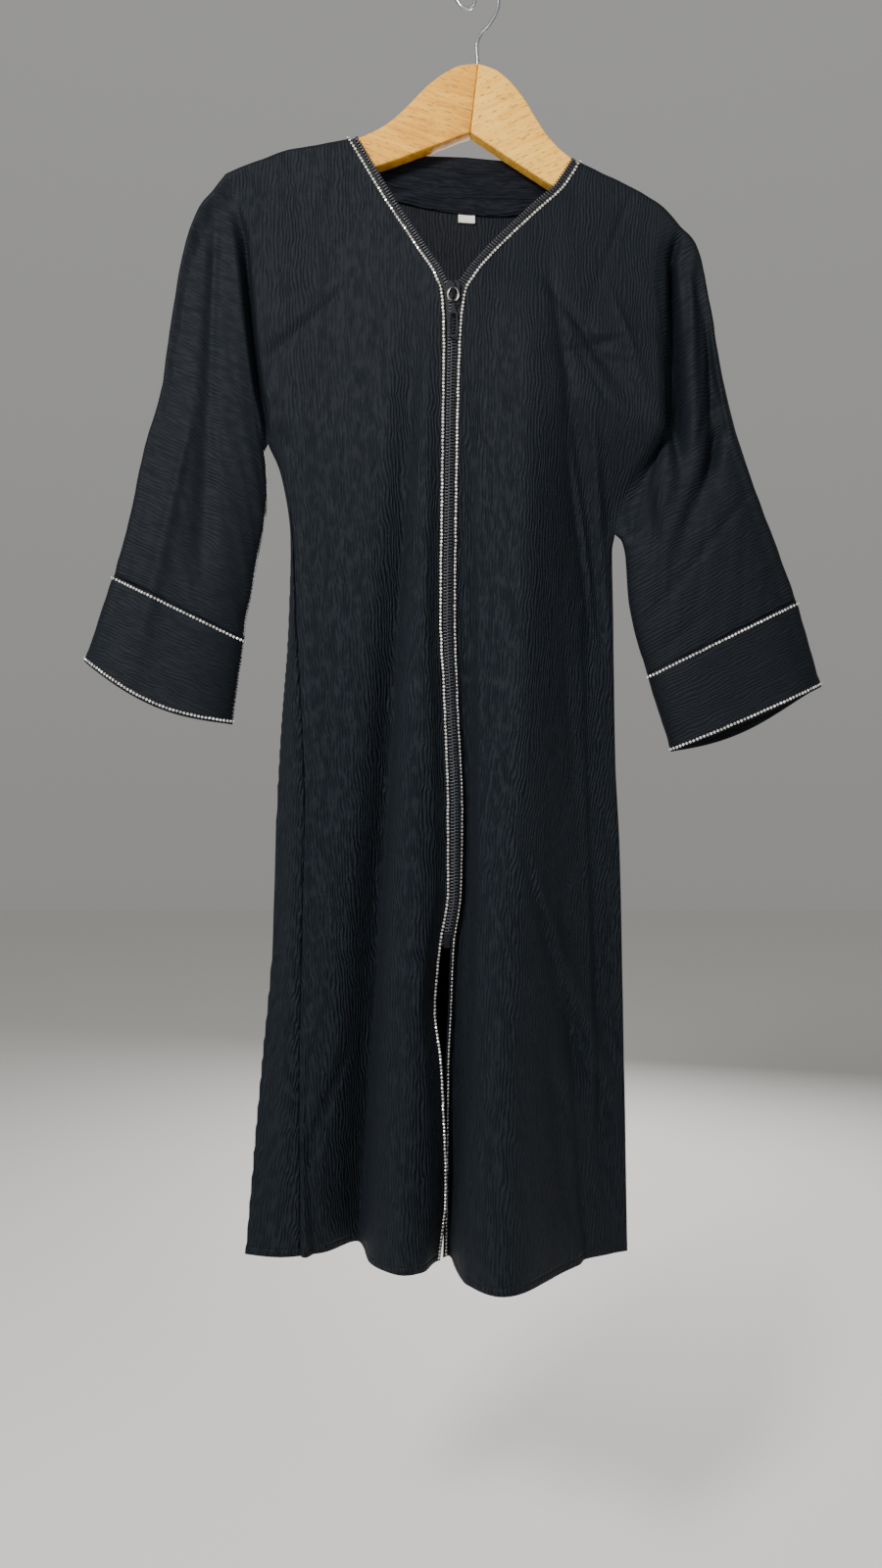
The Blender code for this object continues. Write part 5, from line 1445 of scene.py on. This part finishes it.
# %% Stones and cups
def stone_shape():
    """A cut stone of 8 sides: girdle, crown and flat top."""
    levels = ((1.1, 0.0, 0.42), (1.08, 0.5, 0.7), (0.6, 0.0, 1.15))
    points = [
        (r * math.cos(math.pi * (i + turn) / 4), r * math.sin(math.pi * (i + turn) / 4), h)
        for r, turn, h in levels for i in range(8)
    ]
    return np.array(points), ring_faces(3, 8) + [list(range(16, 24))]


def cup_shape():
    """The cup round a stone, and the link to the next."""
    levels = ((0.85, -0.1), (1.02, 0.1), (1.02, 0.5), (0.9, 0.5))
    points = [
        (r * math.cos(math.pi * i / 5), r * math.sin(math.pi * i / 5), h)
        for r, h in levels for i in range(10)
    ]
    faces = ring_faces(4, 10) + [list(reversed(range(10)))]
    faces += [[len(points) + k for k in face] for face in ring_faces(2, 4)]
    link = ((-0.2, 0.05), (0.2, 0.05), (0.2, 0.3), (-0.2, 0.3))
    points += [(x, y, z) for y in (0.9, 2.0) for x, z in link]
    return np.array(points), faces


STONE = stone_shape()
CUP = cup_shape()
STONE_PITCH = 2.9
print("faces of a stone:", len(STONE[1]), "of a cup and its link:", len(CUP[1]))

# %% Chains
def chain(name, points, ways, lift, start=0.0):
    places, ups, alongs = even_marks(points, ways, STONE_PITCH, start)
    count = len(places)

    def drawn(step, second, third):
        """One number from -1 to 1 for each stone, always the same ones."""
        return np.array([noise.noise((i * step, second, third)) for i in range(count)])

    # Sewn by hand, so the chain wanders by a third of a millimetre.
    across = np.cross(alongs, ups)
    sway = drawn(0.31, count * 0.1, 2.0) * 0.35
    places = places + ups * lift + across * sway[:, None]
    tip, roll = drawn(1.7, 4.0, count * 0.3), drawn(1.3, 9.0, count * 0.3)
    leaned = unit(ups + across * tip[:, None] * 0.35 + alongs * roll[:, None] * 0.35)
    cups = row_of(name + "_cups", CUP, places, ups, alongs, stone_cup)
    stones = row_of(name + "_stones", STONE, places, leaned, alongs, stone)
    # Each stone's own brightness, painted into its colour: a painted glint.
    painted_glint = np.clip(0.5 + 0.9 * drawn(2.37, 7.0, 0.5), 0.0, 1.0)
    store_values(stones, "painted_glint", np.repeat(painted_glint, len(STONE[0])))
    return count


total = 0
for side in ("right", "left"):
    points, ways = offset_line(fronts[side], 1.7)
    total += chain("zip_chain_" + side, points[3:], ways[3:], 0.75, 0.5)
for side, (piece, grid, normal, size, area) in cuffs.items():
    for place, row in (("seam", 1), ("edge", len(grid) - 2)):
        total += chain(f"cuff_{place}_chain_{side}", grid[row], normal[row], 1.0)
print("stones:", total)

# %% [markdown]
# ## Back neck facing and label
#
# Inside the back neck a strip of the same crepe is gathered by its own crinkle, which here runs
# across. Its free lower edge is turned under. A blank loop of white ribbon is sewn into it. Both
# could be flat cards, but they are seen through the V, so the strip is drawn from the back's own
# shape and stands a little off it.

# %% Facing
FACING_DEPTH = 47.0
FACING_ROWS = 46
FACING_OFF = 1.5


def facing_rows():
    """The back's neck part, measured off evenly down from its top edge."""
    coarse = back_columns(0.006)
    in_neck = (coarse[:, 0] > NECK_END["right"] - 0.5) & (coarse[:, 0] < NECK_END["left"] + 0.5)
    grid = back_body(coarse[in_neck & (coarse[:, 1] > 6.0)], np.linspace(FIRST_STEP, 0.36, 60))
    fall = spans(grid, 0)
    depths = np.linspace(0.6, FACING_DEPTH, FACING_ROWS)
    return np.stack([
        np.stack([np.interp(depths, fall[:, j], grid[:, j, k]) for k in range(3)], axis=1)
        for j in range(grid.shape[1])
    ], axis=1)


def gathers(pattern):
    """The crinkle's folds across the strip, from about -1 to 1."""
    return np.array([
        noise.noise((v / 3.1 + 0.8 * noise.noise((u / 30.0, 0.0, 4.0)), u / 34.0, 6.0))
        for v, u in pattern.reshape(-1, 2)
    ]).reshape(pattern.shape[:2])


def make_facing():
    rows = facing_rows()
    pattern = np.stack([spans(rows, 0), spans(rows, 1)], axis=-1)
    across = window(np.linspace(0, 1, rows.shape[1]), 0.2)[None, :]
    inside = across * window(np.linspace(0, 1, FACING_ROWS), 0.15)[:, None]
    lift = FACING_OFF + 1.2 * inside * (0.5 + gathers(pattern))
    grid = rows + to_viewer(facings(rows)) * lift[..., None]
    piece, size, area = small_cloth(
        "crepe_neck_facing", "neck_facing", grid, pattern, facing_crepe, 0.9,
    )
    area = min(area, size[0] * size[1])
    print(piece.name, "flat m:", np.round(size, 3).tolist())


make_facing()

# %% Label
LABEL_LEAN = math.tan(math.radians(4))
# The loop seen from its side: height as a share of the label's, and depth.
LABEL_LOOP = (
    (0.0, -0.55), (-0.35, -0.62), (-0.8, -0.52), (-0.97, 0.0), (-0.8, 0.42), (-0.35, 0.5), (0.0, 0.45),
)


def make_label():
    """A loop of ribbon: down in front, round, and up behind, a little curled."""
    low, high = (np.array(corner) * 1000 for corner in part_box("neck_label"))
    width, height = high[0] - low[0], high[2] - low[2] - 0.4
    middle = (low + high) / 2
    loop = follow([(i, *row) for i, row in enumerate(LABEL_LOOP)], np.linspace(0, 6, 25))
    columns = np.linspace(-0.5, 0.5, 22)[None, :]
    grid = stack(
        middle[0] + columns * width,
        middle[1] + loop[:, 1:2] + 0.25 * np.cos(columns * 5),
        middle[2] + height / 2 + loop[:, 0:1] * height - columns * width * LABEL_LEAN,
    )
    pattern = np.stack([spans(grid, 1), spans(grid, 0)], axis=-1)
    piece, size, _ = small_cloth(
        "ribbon_label_loop", "neck_label", grid, pattern, ribbon_weave, 0.25,
    )
    print(piece.name, "flat m:", np.round(size, 3).tolist())


make_label()

# %% [markdown]
#
# Each panel is a sheet that was cut flat, and hangs from the hanger or from another panel. Its flat size and
# area, printed as it is made, say how much cloth it takes.

# %% Sheets
for side, (piece, grid, normal, size, area) in cuffs.items():
    area = min(area, size[0] * size[1])
print("crepe in the body and sleeves, m2:", round(area_right + area_left + area_back, 2))

# %% [markdown]
# ## The hanger
#
# Each half is sawn from a flat board and its edges are rounded with a router before the halves
# are glued at the middle. The outline is filled and its edges are bevelled in several small
# steps, so that the light rolls round them. The hook is bent from one length of wire, so a curve
# with a round section draws it.

# %% Wood
GLUE_LINE = 0.12
BOARD_HALF = 6
ROUTED_EDGE = 1.5


def make_arm(name, node, side, material):
    outs = np.linspace(GLUE_LINE, HANGER_TOP[-1][0], 57)
    upper = [tilted(out * side, float(follow(HANGER_TOP, out)[0])) for out in outs]
    under = [tilted(out * side, float(follow(HANGER_UNDER, out)[0])) for out in outs[::2]]
    loop = upper + under[::-1]
    shape = bmesh.new()
    near = [shape.verts.new((x * MM, -BOARD_HALF * MM, z * MM)) for x, z in loop]
    far = [shape.verts.new((x * MM, BOARD_HALF * MM, z * MM)) for x, z in loop]
    caps = [shape.faces.new(near), shape.faces.new(list(reversed(far)))]
    for i in range(len(loop)):
        k = (i + 1) % len(loop)
        shape.faces.new((near[k], near[i], far[i], far[k]))
    bmesh.ops.recalc_face_normals(shape, faces=shape.faces[:])
    rim = list({edge for face in caps for edge in face.edges})
    bmesh.ops.bevel(shape, geom=rim, offset=ROUTED_EDGE * MM, segments=4, profile=0.5, affect="EDGES")
    mesh = bpy.data.meshes.new(name)
    shape.to_mesh(mesh)
    shape.free()
    mesh.shade_smooth()
    mesh.set_sharp_from_angle(angle=math.radians(40))
    mesh.materials.append(material)
    made = hang(name, mesh)
    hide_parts(node)
    print(name, "points:", len(mesh.vertices))


make_arm("hanger_beech_right", "hanger_arm_right", -1, beech_right)
make_arm("hanger_beech_left", "hanger_arm_left", 1, beech_left)

# %% Hook
WIRE_RADIUS = 1.5
HOOK_RADIUS = 20.0
HOOK_STEM = ((1.2, -88.1), (0.4, -70.0), (2.8, -62.5), (11.0, -52.5), (18.0, -38.0))
HOOK_CURL = ((-19.0, -27.0), (-15.2, -34.2), (-11.5, -38.6), (-6.8, -39.9), (-2.2, -37.0), (-0.6, -31.5))


def make_hook():
    turns = np.linspace(math.radians(-20), math.radians(200), 23)
    middle = WIRE_RADIUS - HOOK_RADIUS
    arc = [(HOOK_RADIUS * math.cos(t), middle + HOOK_RADIUS * math.sin(t)) for t in turns]
    route = np.array([*HOOK_STEM, *arc, *HOOK_CURL])
    travelled = np.concatenate([[0.0], np.cumsum(np.linalg.norm(np.diff(route, axis=0), axis=1))])
    fine = follow(np.column_stack([travelled, route]), np.linspace(0.0, travelled[-1], 150))
    curve = bpy.data.curves.new("hanger_wire_hook", "CURVE")
    curve.dimensions = "3D"
    curve.bevel_depth = WIRE_RADIUS * MM
    curve.bevel_resolution = 5
    curve.use_fill_caps = True
    spline = curve.splines.new("POLY")
    spline.points.add(len(fine) - 1)
    for spot, (x, z) in zip(spline.points, fine):
        spot.co = (x * MM, 0.0, z * MM, 1.0)
    curve.materials.append(zinc_wire)
    made = hang("hanger_wire_hook", curve)
    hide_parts("hanger_hook")
    print(made.name, "wire, mm:", round(float(travelled[-1])))


make_hook()

# %% [markdown]
# ## Finish the zip's metal
#
# The slider, ring, tab and end box keep their solids, because their shapes are right. They only need their
# plated finish and edges that are broken enough to catch light. The broken edges get a bright plate, which
# stands for where hands and the other half rub the black nickel away and is also a painted highlight.

# %% Metal on the solids
# Width of each part's broken edge in mm. The ring is round wire and has none.
BROKEN_EDGE = {"zip_slider": 0.6, "zip_tab": 0.6, "zip_box": 0.3}
for name in (*BROKEN_EDGE, "zip_ring"):
    node = nodes[name]
    node.data.materials.clear()
    node.data.materials.append(black_nickel if name in BROKEN_EDGE else bright_nickel)
    if name in BROKEN_EDGE:
        edge = node.modifiers.new("broken_edges", "BEVEL")
        edge.width = BROKEN_EDGE[name] * MM
        edge.segments = 2
        edge.limit_method = "ANGLE"
        edge.angle_limit = math.radians(35)
        node.data.materials.append(worn_and_highlight_nickel)
        # The bevel takes the bright plate: wear, and a painted highlight on the edges.
        edge.material = 1
print("left as solids:", [n for n, o in nodes.items() if not o.hide_render])

# %% [markdown]
# ## Camera, light and floor
#
# The photograph was taken with a phone's main lens, level, about 0.93 m from the garment. Its
# main light comes from high on the viewer's left. A weaker light low on the same side rakes
# across the crinkle, a wide weak one on the right opens the shadows, and one behind lights the
# floor and the far edges. A pale room gives the rest.

# %% Camera
# Across, depth and height in metres. AUTO lays the 36 mm along the picture's long side.
CAMERA_PLACE = (-0.029, -0.93, -0.6768)
camera_data = bpy.data.cameras.new("camera")
camera_data.lens = 26.0
camera_data.sensor_width = 36.0
camera_data.sensor_fit = "AUTO"
camera = bpy.data.objects.new("camera", camera_data)
camera.location = CAMERA_PLACE
camera.rotation_euler = (math.radians(90), 0.0, 0.0)
bpy.context.scene.collection.objects.link(camera)
bpy.context.scene.camera = camera
print("camera sees along the long side, degrees:", round(math.degrees(camera_data.angle)))

# %% Lights
def area_light(name, place, aim, size, power, colour):
    data = bpy.data.lights.new(name, "AREA")
    data.shape = "RECTANGLE"
    data.size, data.size_y = size
    data.energy = power
    data.color = linear(colour)[:3]
    made = bpy.data.objects.new(name, data)
    made.location = place
    made.rotation_euler = (Vector(aim) - Vector(place)).to_track_quat("-Z", "Y").to_euler()
    bpy.context.scene.collection.objects.link(made)


# Name, place, the point it looks at, width and height, watts, colour.
LIGHTS = (
    ("key", (-0.85, -1.55, 0.6), (0.0, 0.0, -0.68), (0.4, 0.4), 52.0, "fdfcff"),
    ("rake", (-1.3, -0.9, -0.5), (0.0, 0.0, -0.85), (0.35, 0.6), 5.6, "fbfcff"),
    ("fill", (0.9, -1.6, 0.0), (0.0, 0.0, -0.8), (0.8, 0.8), 7.3, "f4f7ff"),
    ("behind", (0.5, 1.9, -0.1), (0.0, 0.0, -0.6), (0.6, 0.6), 42.0, "fdfcff"),
)
for light in LIGHTS:
    area_light(*light)
print("lights:", [name for name, *_ in LIGHTS])

# %% Room and floor
ROOM_STRENGTH = 0.42
FLOOR_LEVEL = -1.45
FLOOR_HALF = 6.0
world = bpy.data.worlds.new("pale_room")
world.use_nodes = True
sky = world.node_tree
way = put(sky, "ShaderNodeTexCoord").outputs["Generated"]
level = put(sky, "ShaderNodeSeparateXYZ", {"Vector": way}).outputs["Z"]
shade = put(sky, "ShaderNodeMapRange", {"Value": level, "From Min": -0.5, "From Max": 0.6})
walls = put(sky, "ShaderNodeValToRGB", {"Fac": shade.outputs["Result"]}, ((0.0, "c9c7c3"), (1.0, "e9e8e5")))
sky.links.new(walls.outputs["Color"], sky.nodes["Background"].inputs["Color"])
sky.nodes["Background"].inputs["Strength"].default_value = ROOM_STRENGTH
bpy.context.scene.world = world

floor_finish, _, floor_shader = finish("pale_floor", 0.8)
floor_shader.inputs["Base Color"].default_value = linear("e2dfda")
bpy.ops.mesh.primitive_plane_add(size=2 * FLOOR_HALF, location=(0.0, 0.0, FLOOR_LEVEL))
floor = bpy.context.object
floor.name = "floor"
floor.data.materials.append(floor_finish)
floor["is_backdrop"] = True
print("floor below the hem, m:", round(cad_low[2] - FLOOR_LEVEL, 2))

# %% [markdown]
# ## Sizes against the solids
#
# The last cell prints how far the dressed garment's box has moved from the solids' box at each corner, in
# millimetres.

# %% Sizes
new_low, new_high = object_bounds()
for end, before, after in (("low", cad_low, new_low), ("high", cad_high, new_high)):
    print("moved at the", end, "corner, mm:", [round((b - a) * 1000, 1) for a, b in zip(before, after)])
